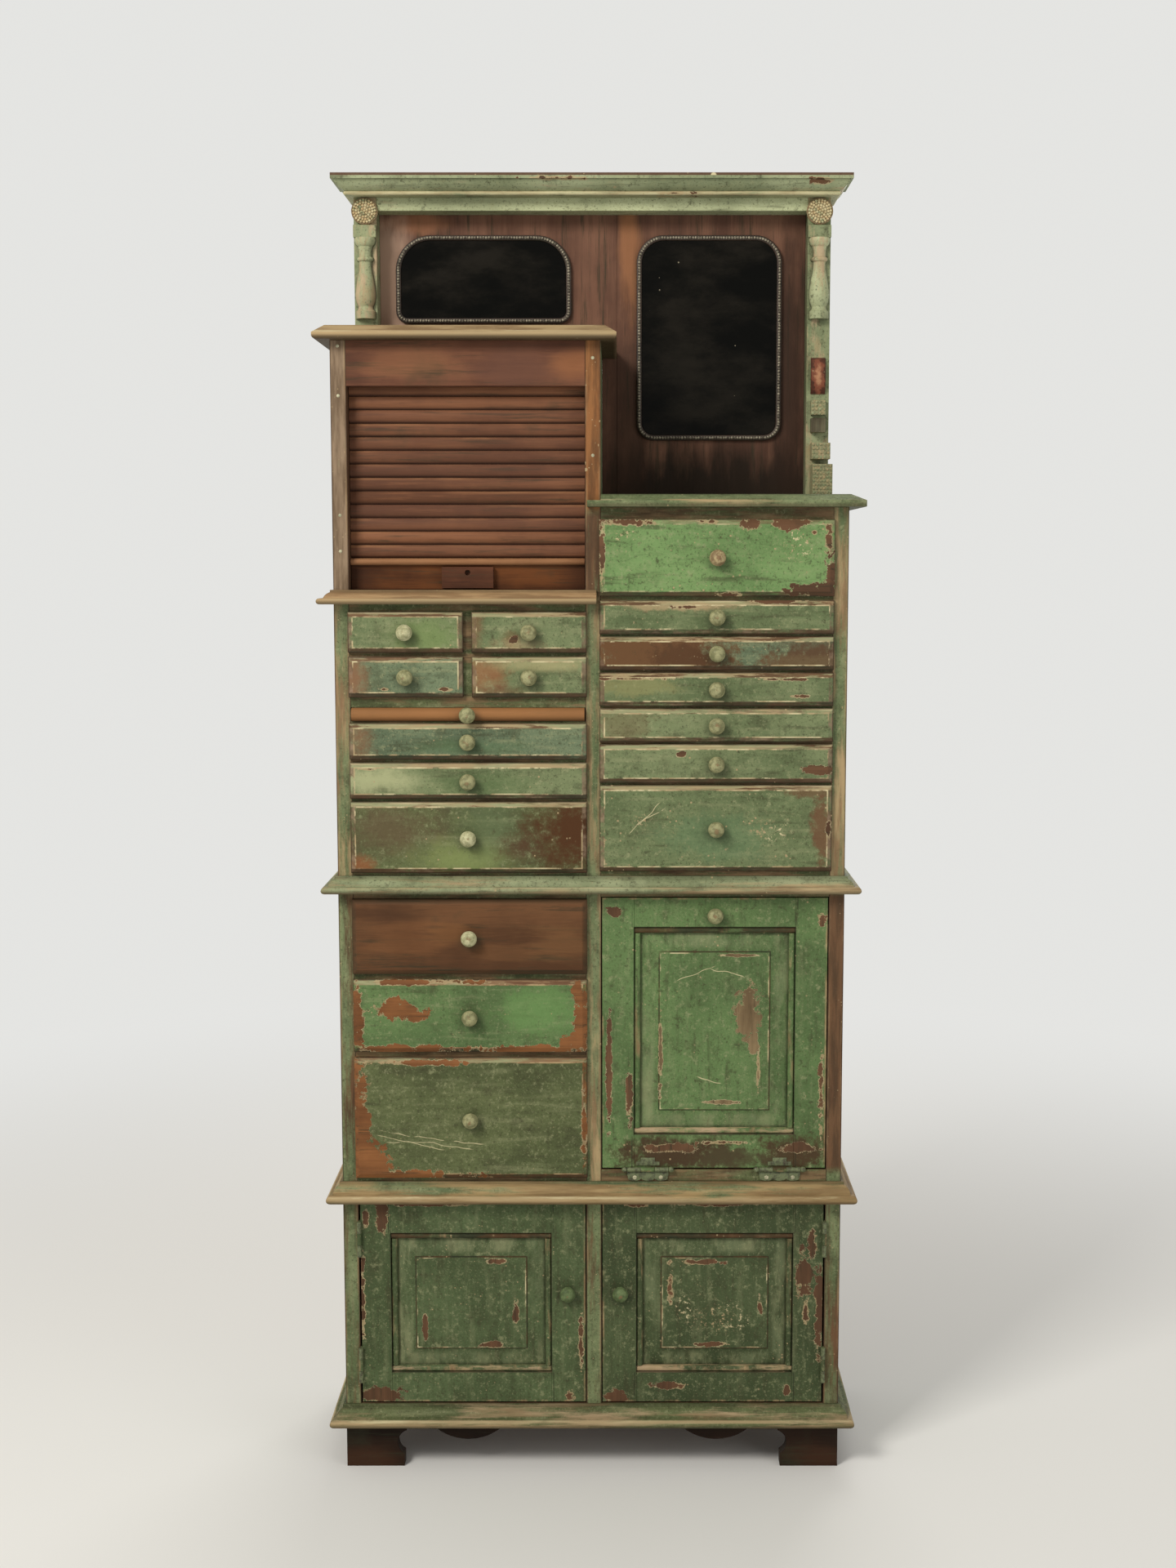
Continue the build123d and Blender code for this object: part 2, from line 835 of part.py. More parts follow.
fall_left = partition_right + door_side_gap
fall_right = right_inner - door_side_gap
fall_axis_y = front - hinge_stand_off
fall_axis_z = fall_rail_top + fall_gap / 2
fall_third = fall_hinge_length / 3
fall_hinge_places = (fall_left + fall_hinge_inset, fall_right - fall_hinge_inset)
fall_web_bottom = fall_axis_z - hinge_leaf / 2
leaf_face = front - seam
leaf_top = fall_axis_z - hinge_barrel_radius - hinge_knuckle_gap


def fall_barrel(x0, x1):
    # One knuckle along X, bored for the pin
    with BuildPart() as barrel:
        with BuildSketch(Plane((x0, fall_axis_y, fall_axis_z), x_dir=(0, 1, 0), z_dir=(1, 0, 0))):
            Circle(hinge_barrel_radius)
            Circle(hinge_pin_radius + hinge_pin_clearance, mode=Mode.SUBTRACT)
        extrude(amount=x1 - x0)
    return barrel.part


def scalloped_leaf(x):
    # The lower leaf on the rail: three lobes along its foot
    lobe = fall_hinge_length / 3
    left = x - fall_hinge_length / 2
    foot = leaf_top - fall_hinge_drop / 2
    with BuildPart() as leaf:
        with BuildSketch(Plane.XZ.offset(-leaf_face)):
            with BuildLine():
                Line((left, leaf_top), (left, foot))
                for i in range(3):
                    start = left + lobe * i
                    ThreePointArc(
                        (start, foot),
                        (start + lobe / 2, leaf_top - fall_hinge_drop),
                        (start + lobe, foot),
                    )
                Line((left + lobe * 3, foot), (left + lobe * 3, leaf_top))
                Line((left + lobe * 3, leaf_top), (left, leaf_top))
            make_face()
        extrude(amount=fall_hinge_leaf)
        for start in (left, left + lobe * 2):
            x0 = start + hinge_knuckle_gap / 2
            x1 = start + lobe - hinge_knuckle_gap / 2
            web_top = fall_axis_z * 2 - leaf_top - hinge_barrel_radius
            board(x0, x1, leaf_face - fall_hinge_leaf, leaf_face, leaf_top, web_top)
            add(fall_barrel(x0, x1))
    return leaf.part


ball_place = fall_hinge_length / 2 + fall_hinge_ball * fall_ball_share
with BuildPart() as fall_hinges:
    for place in fall_hinge_places:
        add(scalloped_leaf(place))
        pin_start = (place - fall_hinge_length / 2, fall_axis_y, fall_axis_z)
        with BuildSketch(Plane(pin_start, x_dir=(0, 1, 0), z_dir=(1, 0, 0))):
            Circle(hinge_pin_radius)
        extrude(amount=fall_hinge_length)
        for end in (-1, 1):
            with Locations((place + ball_place * end, fall_axis_y, fall_axis_z)):
                Sphere(fall_hinge_ball)
save(fall_hinges, "fall_hinges")

with BuildPart() as fall_front_frame:
    fall_opening = framed_door(
        fall_left,
        fall_right,
        fall_bottom,
        fall_top,
        fall_stile,
        fall_stile,
        fall_top_rail,
        fall_bottom_rail,
    )
    for place in fall_hinge_places:
        x0 = place - fall_third / 2 + hinge_knuckle_gap / 2
        x1 = place + fall_third / 2 - hinge_knuckle_gap / 2
        add(fall_barrel(x0, x1))
        web_rear = front + hinge_leaf_depth
        web_front = fall_axis_y + (hinge_barrel_radius + hinge_pin_radius + hinge_pin_clearance) / 2
        board(x0, x1, web_front, web_rear, fall_web_bottom, fall_web_bottom + hinge_leaf)
        half = fall_hinge_length / 2
        board(place - half, place + half, front, web_rear, fall_web_bottom, fall_web_bottom + hinge_leaf)
    place_knob((fall_left + fall_right) / 2, front, fall_top - fall_knob_drop)
save(fall_front_frame, "fall_front_frame")
save(door_panel(fall_opening), "fall_front_panel")

# Roll front: head rail, bottom rail with its lip and lock, and the slats

with BuildPart() as roll_head_rail:
    board(
        left_inner,
        partition_left,
        front,
        front + head_rail_thickness,
        roll_ceiling - head_rail_height,
        roll_ceiling,
    )
save(roll_head_rail, "roll_head_rail")

slat_left = left_inner + slat_end_clearance
slat_right = partition_left - slat_end_clearance
roll_face = front + roll_setback
roll_rail_bottom = sill_top + run_clearance
roll_rail_top = roll_rail_bottom + roll_rail_height
slat_back = roll_face + slat_thickness

lip_root = lip_reach - lip_height / 2
with BuildPart() as roll_rail:
    roll_rail_rear = roll_face + roll_rail_thickness
    board(slat_left, slat_right, roll_face, roll_rail_rear, roll_rail_bottom, roll_rail_top)
    lip_plane = Plane((slat_right, roll_face - seam, roll_rail_top), x_dir=(0, -1, 0), z_dir=(-1, 0, 0))
    with BuildSketch(lip_plane):
        with BuildLine():
            Line((0, 0), (0, -lip_height))
            Line((0, -lip_height), (lip_root, -lip_height))
            ThreePointArc((lip_root, -lip_height), (lip_reach, -lip_height / 2), (lip_root, 0))
            Line((lip_root, 0), (0, 0))
        make_face()
    extrude(amount=slat_right - slat_left)
save(roll_rail, "roll_rail")

lock_middle = (slat_left + slat_right) / 2
lock_bottom = roll_rail_bottom + lock_rise
lock_rear = roll_face - seam
with BuildPart() as roll_lock:
    board(
        lock_middle - lock_width / 2,
        lock_middle + lock_width / 2,
        lock_rear - lock_reach,
        lock_rear,
        lock_bottom,
        lock_bottom + lock_height,
    )
    keyhole_level = lock_bottom + lock_height * keyhole_rise_share
    with Locations(Plane((lock_middle, lock_rear - lock_reach, keyhole_level), z_dir=(0, -1, 0))):
        Hole(keyhole_radius, keyhole_depth)
save(roll_lock, "roll_lock")

slat_count = int((roll_ceiling - slat_headroom - roll_rail_top) / slat_pitch)
group_ends = [ceil(slat_count * i / slat_group_count) for i in range(slat_group_count + 1)]
first_slat = roll_rail_top + slat_gap / 2
for group in range(slat_group_count):
    with BuildPart() as slats:
        for number in range(group_ends[group], group_ends[group + 1]):
            slat_bottom = first_slat + slat_pitch * number + slat_gap / 2
            slat_plane = Plane((slat_right, slat_back, slat_bottom), x_dir=(0, -1, 0), z_dir=(-1, 0, 0))
            slat_height = slat_pitch - slat_gap
            with BuildSketch(slat_plane):
                with BuildLine():
                    Line((0, 0), (slat_edge, 0))
                    ThreePointArc(
                        (slat_edge, 0),
                        (slat_thickness, slat_height / 2),
                        (slat_edge, slat_height),
                    )
                    Line((slat_edge, slat_height), (0, slat_height))
                    Line((0, slat_height), (0, 0))
                make_face()
            extrude(amount=slat_right - slat_left)
    save(slats, f"roll_slats_{group + 1}")

# Moulded tops of the roll case and the counter

roll_left = -half_width - moulding_reach
roll_right = partition_right + roll_top_right_reach
roll_front = front - moulding_reach
roll_shoulder = roll_top_level - roll_top_bevel_height
roll_stop = panel_face - seam
batten_face = panel_face + gallery_panel_thickness + seam
batten_rear = batten_face + panel_batten_thickness
with BuildPart() as roll_top:
    board(roll_left, roll_right, roll_front, roll_stop, roll_ceiling, roll_shoulder)
    under = roll_top.edges().group_by(Axis.Z)[0]
    fillet(under.filter_by(Axis.X).group_by(Axis.Y)[0] + under.filter_by(Axis.Y), roll_top_under_round)
    for level, inset in ((roll_shoulder, 0), (roll_top_level, roll_top_bevel_width)):
        with BuildSketch(Plane.XY.offset(level)):
            with BuildLine():
                Polyline(
                    (roll_left + inset, roll_stop),
                    (roll_left + inset, roll_front + inset),
                    (roll_right - inset, roll_front + inset),
                    (roll_right - inset, roll_stop),
                    close=True,
                )
            make_face()
    loft(ruled=True)
    # Square behind the panel's face, where the gallery boards close on it, with a cleat over their joint
    board(roll_left, roll_right, roll_stop, back, roll_ceiling, roll_top_level)
    cleat_right = roll_right + panel_batten_width / 2
    board(roll_right, cleat_right, batten_face, batten_rear, roll_ceiling, roll_top_level)
save(roll_top, "roll_top")

counter_right = half_width + moulding_reach
counter_front = front - moulding_reach
counter_shoulder = counter_top_level - counter_bevel_height
with BuildPart() as counter_top:
    board(partition_right, counter_right, front, back, counter_bottom, counter_shoulder)
    board(
        partition_right - counter_nose_run,
        counter_right,
        counter_front,
        front,
        counter_bottom,
        counter_shoulder,
    )
    counter_x = (partition_right, counter_right, counter_right - counter_bevel_width)
    with BuildSketch(Plane.XY.offset(counter_shoulder)):
        with BuildLine():
            Polyline(
                (counter_x[0], back),
                (counter_x[0], counter_front),
                (counter_x[1], counter_front),
                (counter_x[1], back),
                close=True,
            )
        make_face()
    with BuildSketch(Plane.XY.offset(counter_top_level)):
        with BuildLine():
            Polyline(
                (counter_x[0], back),
                (counter_x[0], counter_front + counter_bevel_width),
                (counter_x[2], counter_front + counter_bevel_width),
                (counter_x[2], back),
                close=True,
            )
        make_face()
    loft(ruled=True)
save(counter_top, "counter_top")

# Gallery: panel boards, posts with their applied turnings, frieze, cornice and mirrors

panel_start = partition_right + seam
panel_split = partition_right + roll_top_right_reach + seam
with BuildPart() as gallery_panel:
    panel_rear = panel_face + gallery_panel_thickness
    board(-post_inner, panel_split, panel_face, panel_rear, roll_top_level, gallery_top)
    board(panel_split + seam, post_inner, panel_face, panel_rear, counter_top_level, gallery_top)
    board(panel_start, panel_split, panel_face, panel_rear, counter_top_level, roll_ceiling)
    # Battens behind the joint between the boards
    batten_left = panel_split - panel_batten_width / 2
    for level, top in ((counter_top_level, roll_ceiling), (roll_top_level, gallery_top)):
        board(
            batten_left,
            batten_left + panel_batten_width,
            batten_face,
            batten_rear,
            level,
            top,
        )
save(gallery_panel, "gallery_panel")

block_level = gallery_top - (rosette_radius + run_clearance) * 2 - post_block_height
applied = post_face - seam
with BuildPart() as left_post:
    board(-post_outer, -post_inner - seam, post_face, back, roll_top_level, gallery_top)
    board(
        -post_outer,
        -post_inner - seam,
        applied - post_block_reach,
        applied,
        block_level,
        block_level + post_block_height,
    )
save(left_post, "left_post")

post_left = post_inner + seam
post_middle = (post_left + post_outer) / 2
# Blocks on the right post: level, height, reach, and insets from its inner and outer edges
both_insets = (carving_margin, carving_margin)
post_blocks = (
    (block_level, post_block_height, post_block_reach, 0, 0),
    (counter_top_level, plinth_height, plinth_reach, carving_margin, -plinth_spread),
    (counter_top_level + seed_block_rise, seed_block_height, seed_block_reach, carving_margin, 0),
    (counter_top_level + tile_rise, tile_height, tile_reach, *both_insets),
    (counter_top_level + leaf_block_rise, leaf_block_height, leaf_block_reach, *both_insets),
)
tablet_level = counter_top_level + tablet_rise
tablet_left = post_left + carving_margin
tablet_run = post_outer - carving_margin - tablet_left
with BuildPart() as right_post:
    board(post_left, post_outer, post_face, back, counter_top_level, gallery_top)
    for level, height, reach, inner, outer in post_blocks:
        board(post_left + inner, post_outer - outer, applied - reach, applied, level, level + height)
    with BuildSketch(Plane((tablet_left, applied, tablet_level), x_dir=(0, -1, 0), z_dir=(-1, 0, 0))):
        with BuildLine():
            Line((0, 0), (0, tablet_height))
            ThreePointArc((0, tablet_height), (tablet_reach, tablet_height / 2), (0, 0))
        make_face()
    extrude(amount=-tablet_run)
save(right_post, "right_post")

# Half-turned vases: a plain foot, then arcs given by middle and end, as shares of radius and height
vase_foot_shares = (0.97, 0.09)
vase_arc_shares = (
    ((0.80, 0.115), (0.74, 0.15)),
    ((0.92, 0.21), (1.00, 0.31)),
    ((0.88, 0.45), (0.70, 0.58)),
    ((0.66, 0.64), (0.66, 0.705)),
    ((0.84, 0.735), (0.66, 0.765)),
    ((0.67, 0.83), (0.74, 0.89)),
    ((0.95, 0.925), (1.02, 1.00)),
)
vase_bottom = block_level - vase_height
with BuildPart() as post_vases:
    vase_plane = Plane((post_middle, applied, vase_bottom), x_dir=(1, 0, 0), z_dir=(0, -1, 0))
    with BuildSketch(vase_plane):
        with BuildLine():
            foot_radius = vase_radius * vase_foot_shares[0]
            last = (foot_radius, vase_height * vase_foot_shares[1])
            Polyline((0, 0), (foot_radius, 0), last)
            for arc_shares in vase_arc_shares:
                middle, end = [(vase_radius * r, (vase_height - seam) * h) for r, h in arc_shares]
                ThreePointArc(last, middle, end)
                last = end
            Polyline(last, (0, last[1]), (0, 0))
        make_face()
    revolve(axis=Axis(vase_plane.origin, (0, 0, 1)), revolution_arc=-180)
    mirror(about=Plane.YZ)
save(post_vases, "post_vases")

rosette_level = gallery_top - rosette_radius - run_clearance
with BuildPart() as rosettes:
    rosette_plane = Plane((post_middle, applied, rosette_level), x_dir=(1, 0, 0), z_dir=(0, -1, 0))
    with BuildSketch(rosette_plane):
        Circle(rosette_radius)
    extrude(amount=rosette_thickness)
    rim = rosettes.edges().filter_by(GeomType.CIRCLE).sort_by(Axis.Y)[0]
    fillet(rim, rosette_edge)
    mirror(about=Plane.YZ)
save(rosettes, "rosettes")

with BuildPart() as frieze:
    frieze_bottom = gallery_top - frieze_height
    board(-post_inner, post_inner, post_face, panel_face - seam, frieze_bottom, gallery_top)
save(frieze, "frieze")

cornice_side = post_outer + cornice_stand - seam
cornice_front = post_face - rosette_thickness - cornice_stand
cornice_section = cornice_face(cornice_reach, cornice_height)
with BuildPart() as cornice:
    cornice_ends = (-cornice_side, cornice_side)
    add(front_run(cornice_section, cornice_reach, *cornice_ends, cornice_front, gallery_top, True, True))
    add(left_run(cornice_section, cornice_reach, -cornice_side, cornice_front, gallery_top, back))
    mirror(cornice.solids().sort_by(Axis.X)[0], about=Plane.YZ)
    board(
        -cornice_side + seam,
        cornice_side - seam,
        cornice_front + seam,
        back,
        gallery_top,
        cornice_level,
    )
save(cornice, "cornice")


def mirror_outline(width, height, top_round, low_round, grow):
    # A mirror's outline with large upper corners and smaller lower ones, grown all round
    with BuildSketch() as outline:
        Rectangle(width + grow * 2, height + grow * 2)
        fillet(outline.vertices().group_by(Axis.Y)[-1], top_round + grow)
        fillet(outline.vertices().group_by(Axis.Y)[0], low_round + grow)
    return outline.sketch


mirror_top = roll_top_level + gallery_height - mirror_head_room
small_left = -post_inner + small_mirror_side_margin
small_right = partition_left - small_mirror_side_margin
small_height = gallery_height - mirror_head_room - small_mirror_rise
tall_left = partition_right + tall_mirror_inner_margin
tall_right = post_inner - tall_mirror_outer_margin
small_centre = ((small_left + small_right) / 2, mirror_top - small_height / 2)
tall_centre = ((tall_left + tall_right) / 2, mirror_top - tall_mirror_height / 2)
small_size = (small_right - small_left, small_height, small_mirror_top_round, small_mirror_low_round)
tall_size = (tall_right - tall_left, tall_mirror_height, tall_mirror_top_round, tall_mirror_low_round)
glass_plane = Plane.XZ.offset(-panel_face + seam)

with BuildPart() as small_mirror:
    with BuildSketch(glass_plane):
        with Locations(small_centre):
            add(mirror_outline(*small_size, 0))
    extrude(amount=mirror_glass)
save(small_mirror, "small_mirror")

with BuildPart() as tall_mirror:
    with BuildSketch(glass_plane):
        with Locations(tall_centre):
            add(mirror_outline(*tall_size, 0))
    extrude(amount=mirror_glass)
save(tall_mirror, "tall_mirror")

with BuildPart() as mirror_frames:
    for centre, size in ((small_centre, small_size), (tall_centre, tall_size)):
        with BuildSketch(glass_plane):
            with Locations(centre):
                add(mirror_outline(*size, mirror_frame_width))
                add(mirror_outline(*size, run_clearance), mode=Mode.SUBTRACT)
        extrude(amount=mirror_frame_thickness)
save(mirror_frames, "mirror_frames")
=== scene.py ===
import math

import bpy
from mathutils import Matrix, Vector


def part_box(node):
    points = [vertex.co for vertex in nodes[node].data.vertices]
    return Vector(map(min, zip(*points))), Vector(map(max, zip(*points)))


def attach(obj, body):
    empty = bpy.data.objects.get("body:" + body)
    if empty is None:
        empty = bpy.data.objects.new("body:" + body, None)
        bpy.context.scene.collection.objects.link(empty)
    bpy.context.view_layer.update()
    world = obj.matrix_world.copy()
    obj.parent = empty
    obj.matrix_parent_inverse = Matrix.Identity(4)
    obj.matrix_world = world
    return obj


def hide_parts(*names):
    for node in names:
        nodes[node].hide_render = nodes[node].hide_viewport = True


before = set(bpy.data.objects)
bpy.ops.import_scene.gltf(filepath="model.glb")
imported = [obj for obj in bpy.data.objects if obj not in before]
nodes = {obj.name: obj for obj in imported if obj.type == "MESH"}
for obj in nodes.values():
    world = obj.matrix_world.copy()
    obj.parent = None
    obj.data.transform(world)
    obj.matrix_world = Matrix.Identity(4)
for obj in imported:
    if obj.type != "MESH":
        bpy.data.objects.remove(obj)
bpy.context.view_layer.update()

mm = 0.001
scene = bpy.context.scene
scene.view_settings.view_transform = "Standard"

# places read from the frame
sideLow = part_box("left_side")[0]
halfWidth = -sideLow.x
caseFront = sideLow.y
postDepth = 70 * mm  # the plain post, without its block
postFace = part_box("left_post")[1].y - postDepth
postOuter = -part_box("left_post")[0].x
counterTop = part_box("counter_top")[1].z
print("frame loaded:", len(nodes), "nodes")


# camera and lamps


def setAll(thing, **settings):
    for key, value in settings.items():
        setattr(thing, key, value)
    return thing


cameraLook = {
    "spot": (0.0385, -2.8958, 1.327),
    "tilt": 83.6,
    "lens": 45.0,
    "sensor": 36.0,
    "shift": -37 / 1920,  # the photograph is cropped a little to one side
}
cameraData = bpy.data.cameras.new("photoCamera")
setAll(cameraData, lens=cameraLook["lens"], sensor_width=cameraLook["sensor"], shift_x=cameraLook["shift"])
camera = bpy.data.objects.new("photoCamera", cameraData)
camera.location = cameraLook["spot"]
camera.rotation_euler = (math.radians(cameraLook["tilt"]), 0, 0)
scene.collection.objects.link(camera)
scene.camera = camera

lampLooks = {
    "keyLamp": {"spot": (-1.9, -2.5, 3.3), "aim": 1.0, "size": 1.2, "watts": 105, "tint": (1.0, 0.96, 0.90)},
    "fillLamp": {"spot": (2.6, -2.4, 1.6), "aim": 0.9, "size": 2.2, "watts": 20, "tint": (1.0, 0.98, 0.95)},
    "backLamp": {"spot": (0.6, 2.8, 2.8), "aim": 1.0, "size": 2.0, "watts": 45, "tint": (1.0, 0.98, 0.95)},
}
for lampName, look in lampLooks.items():
    lampData = bpy.data.lights.new(lampName, "AREA")
    setAll(lampData, size=look["size"], energy=look["watts"], color=look["tint"])
    lamp = bpy.data.objects.new(lampName, lampData)
    lamp.location = look["spot"]
    aim = Vector((0, 0, look["aim"])) - Vector(look["spot"])
    lamp.rotation_euler = aim.to_track_quat("-Z", "Y").to_euler()
    scene.collection.objects.link(lamp)


# tones of the cabinet, each a lighter and a darker one, as screen colours from 0 to 255

tones = {
    "spring": ((114, 144, 90), (100, 129, 79)),
    "sage": ((116, 127, 90), (94, 107, 73)),
    "teal": ((108, 122, 94), (90, 104, 80)),
    "moss": ((92, 100, 65), (78, 86, 55)),
    "grass": ((96, 121, 75), (82, 104, 64)),
    "fern": ((103, 116, 80), (88, 101, 68)),
    "deep": ((84, 99, 66), (70, 83, 54)),
    # the deep green in painted shade
    "darkest": ((74, 86, 57), (60, 71, 46)),
    "celadon": ((160, 167, 131), (130, 138, 105)),
    "pale": ((150, 157, 121), (122, 131, 97)),
    "palest": ((180, 186, 146), (154, 160, 124)),
    "cream": ((204, 192, 152), (166, 146, 110)),
    "tan": ((172, 148, 110), (132, 104, 76)),
    "redBrown": ((112, 80, 52), (80, 55, 36)),
    "orangeBrown": ((142, 94, 56), (102, 66, 40)),
    "stained": ((108, 74, 48), (78, 52, 33)),
    "rawPatch": ((142, 122, 90), (102, 84, 60)),
    "umber": ((106, 76, 54), (80, 58, 42)),
    "pine": ((178, 146, 104), (148, 116, 80)),
    "driftwood": ((142, 120, 98), (104, 84, 66)),
    # dark wood, darkened further as painted shade for the feet and apron
    "shadedDarkWood": ((42, 27, 17), (23, 15, 10)),
    "slat": ((128, 85, 58), (88, 57, 40)),
    "gallery": ((118, 84, 66), (84, 58, 46)),
    "backBoard": ((138, 114, 86), (106, 84, 62)),
}
cream, tan, red, umber = (tones[name] for name in ("cream", "tan", "redBrown", "umber"))
shadeTone = (62, 62, 42)
rubbedTone = (150, 152, 114)
# dark tone for grain lines and grime, also used as painted shade in creases, recesses and under things
grimeAndShadeTone = (46, 48, 34)


# finishes are built from nodes, whose outlets work like plain numbers


class Wire:
    def __init__(self, net, outlet):
        self.net = net
        self.outlet = outlet

    def calc(self, operation, a, b=0.0):
        return wire(self.net, "ShaderNodeMath", {0: a, 1: b}, operation=operation)

    def __add__(self, other):
        return self.calc("ADD", self, other)

    def __mul__(self, other):
        return self.calc("MULTIPLY", self, other)

    def __sub__(self, other):
        return self.calc("SUBTRACT", self, other)

    def __rsub__(self, other):
        return self.calc("SUBTRACT", other, self)

    def __truediv__(self, other):
        return self.calc("DIVIDE", self, other)

    def __abs__(self):
        return self.calc("ABSOLUTE", self)

    __rmul__ = __mul__

    def most(self, other):
        return self.calc("MAXIMUM", self, other)

    def least(self, other):
        return self.calc("MINIMUM", self, other)

    def ease(self, low, high, top=1.0):  # 0 at low, rising smoothly to top at high
        plugs = {"Value": self, "From Min": low, "From Max": high, "To Max": top}
        return wire(self.net, "ShaderNodeMapRange", plugs, interpolation_type="SMOOTHSTEP")

    def band(self, low, high, soft=0.4 * mm):  # 1 between two values
        return self.ease(low - soft, low + soft) * self.ease(high + soft, high - soft)


def linear(v):  # a part of a screen colour as the renderer's own
    v = v / 255
    return v / 12.92 if v < 0.04 else ((v + 0.055) / 1.055) ** 2.4


def addNode(net, kind, plugs=(), **settings):
    node = setAll(net.nodes.new(kind), **settings)
    for inlet, value in dict(plugs).items():
        socket = node.inputs[inlet]
        if isinstance(value, Wire):
            net.links.new(value.outlet, socket)
        elif socket.type == "RGBA" and len(value) == 3:  # a screen colour
            socket.default_value = (*map(linear, value), 1.0)
        else:
            socket.default_value = value
    return node


def wire(net, kind, plugs=(), outlet=0, **settings):
    return Wire(net, addNode(net, kind, plugs, **settings).outputs[outlet])


def grainRun(along, share):  # noise stretched along one axis
    return tuple(share if axis == along else 1.0 for axis in "xyz")


class Finish:
    # one material; its layers are a tone, a roughness and a height for the bump
    def __init__(self, name):
        self.mat = bpy.data.materials.new(name)
        self.mat.use_nodes = True
        self.net = self.mat.node_tree
        self.net.nodes.clear()
        self.place = self.add("TexCoord", outlet="Object")
        split = addNode(self.net, "ShaderNodeSeparateXYZ", {0: self.place})
        self.x, self.y, self.z = (Wire(self.net, outlet) for outlet in split.outputs)

    def add(self, kind, *rest, **settings):
        return wire(self.net, "ShaderNode" + kind, *rest, **settings)

    def blend(self, share, a, b):  # of tones
        return self.add("Mix", {0: share, 6: a, 7: b}, 2, data_type="RGBA")

    def mix(self, share, a, b):  # of numbers
        return self.add("Mix", {0: share, 2: a, 3: b})

    def shifted(self, stretch, seed):
        begin = (seed * 1.71, seed * 0.93, seed * 2.37)
        return self.add("VectorMath", {0: self.place, 1: stretch, 2: begin}, operation="MULTIPLY_ADD")

    def noise(self, scale, seed, detail=4.0, rough=0.6, stretch=(1, 1, 1), twist=0.0):
        where = self.shifted(stretch, seed)
        plugs = {"Vector": where, "Scale": scale, "Detail": detail, "Roughness": rough, "Distortion": twist}
        return self.add("TexNoise", plugs)

    def specks(self, scale, size, share, seed):  # scattered dots in a share of the cells
        where = self.shifted((1, 1, 1), seed)
        cells = addNode(self.net, "ShaderNodeTexVoronoi", {"Vector": where, "Scale": scale})
        colour, away = (Wire(self.net, cells.outputs[name]) for name in ("Color", "Distance"))
        chance, reach = (self.add("SeparateColor", {0: colour}, outlet) for outlet in (0, 1))
        reach = reach * size
        return chance.calc("GREATER_THAN", chance, 1 - share) * away.ease(reach, reach * 0.6)

    def rim(self, rect):  # under zero inside a rectangle of the front view, zero on its border
        x0, x1, z0, z1 = rect
        overX = abs(self.x - (x0 + x1) / 2) - (x1 - x0) / 2
        overZ = abs(self.z - (z0 + z1) / 2) - (z1 - z0) / 2
        return overX.most(overZ)

    def oval(self, spot, reach):  # 0 in the middle of an oval of the front view, 1 on its edge
        away = self.add("VectorMath", {0: self.place, 1: (spot[0], 0, spot[1])}, operation="SUBTRACT")
        scaled = self.add("VectorMath", {0: away, 1: (1 / reach[0], 0, 1 / reach[1])}, operation="MULTIPLY")
        return self.add("VectorMath", {0: scaled}, "Value", operation="LENGTH")

    def tint(self, share, colour):
        self.layers = (self.blend(share, self.layers[0], colour), *self.layers[1:])

    def stain(self, stains, ragged, low, high):
        for spot, reach, colour, strength in stains:
            self.tint((self.oval(spot, reach) + ragged).ease(low, high, strength), colour)

    def wash(self, colour, *washes):  # tones over a tone, each with a field, its two ends and its strength
        for field, low, high, top, other in washes:
            colour = self.blend(field.ease(low, high, top), colour, other)
        return colour

    def lay(self, share, over):  # other layers over a share of these
        mixes = (self.blend, self.mix, self.mix)
        self.layers = tuple(mix(share, a, b) for mix, a, b in zip(mixes, self.layers, over))

    def close(self, depth=0.5 * mm, strength=0.6, shine=0.12):
        colour, rough, height = self.layers
        bump = self.add("Bump", {"Strength": strength, "Distance": depth, "Height": height})
        plugs = {"Base Color": colour, "Roughness": rough, "Specular IOR Level": shine, "Normal": bump}
        addNode(self.net, "ShaderNodeOutputMaterial", {"Surface": self.add("BsdfPrincipled", plugs)})
        return self.mat

    def grain(self, pair, along, seed, coarse=24.0):
        # layers of wood: streaks along one axis, with lines and finer pores over them
        figure = self.noise(coarse, seed, 6.0, stretch=grainRun(along, 0.08), twist=0.4)
        lines = self.noise(140.0, seed + 2, 6.0, 0.72, grainRun(along, 0.05))
        fine = self.noise(380.0, seed + 3, 3.0, stretch=grainRun(along, 0.03))
        cloud = self.noise(9.0, seed + 5)
        colour = self.wash(
            pair[0], (figure * 0.6 + cloud * 0.4, 0.38, 0.62, 1.0, pair[1]), (lines, 0.46, 0.3, 0.6, pair[0]),
            (lines, 0.52, 0.68, 0.7, grimeAndShadeTone), (fine, 0.54, 0.76, 0.55, pair[1]),
            (cloud, 0.42, 0.28, 0.5, grimeAndShadeTone))
        rough = self.mix(figure.ease(0.2, 0.9), 0.5, 0.75)
        return colour, rough, fine * -0.5 + lines * -0.5 + figure * 0.3

    def coat(self, look):
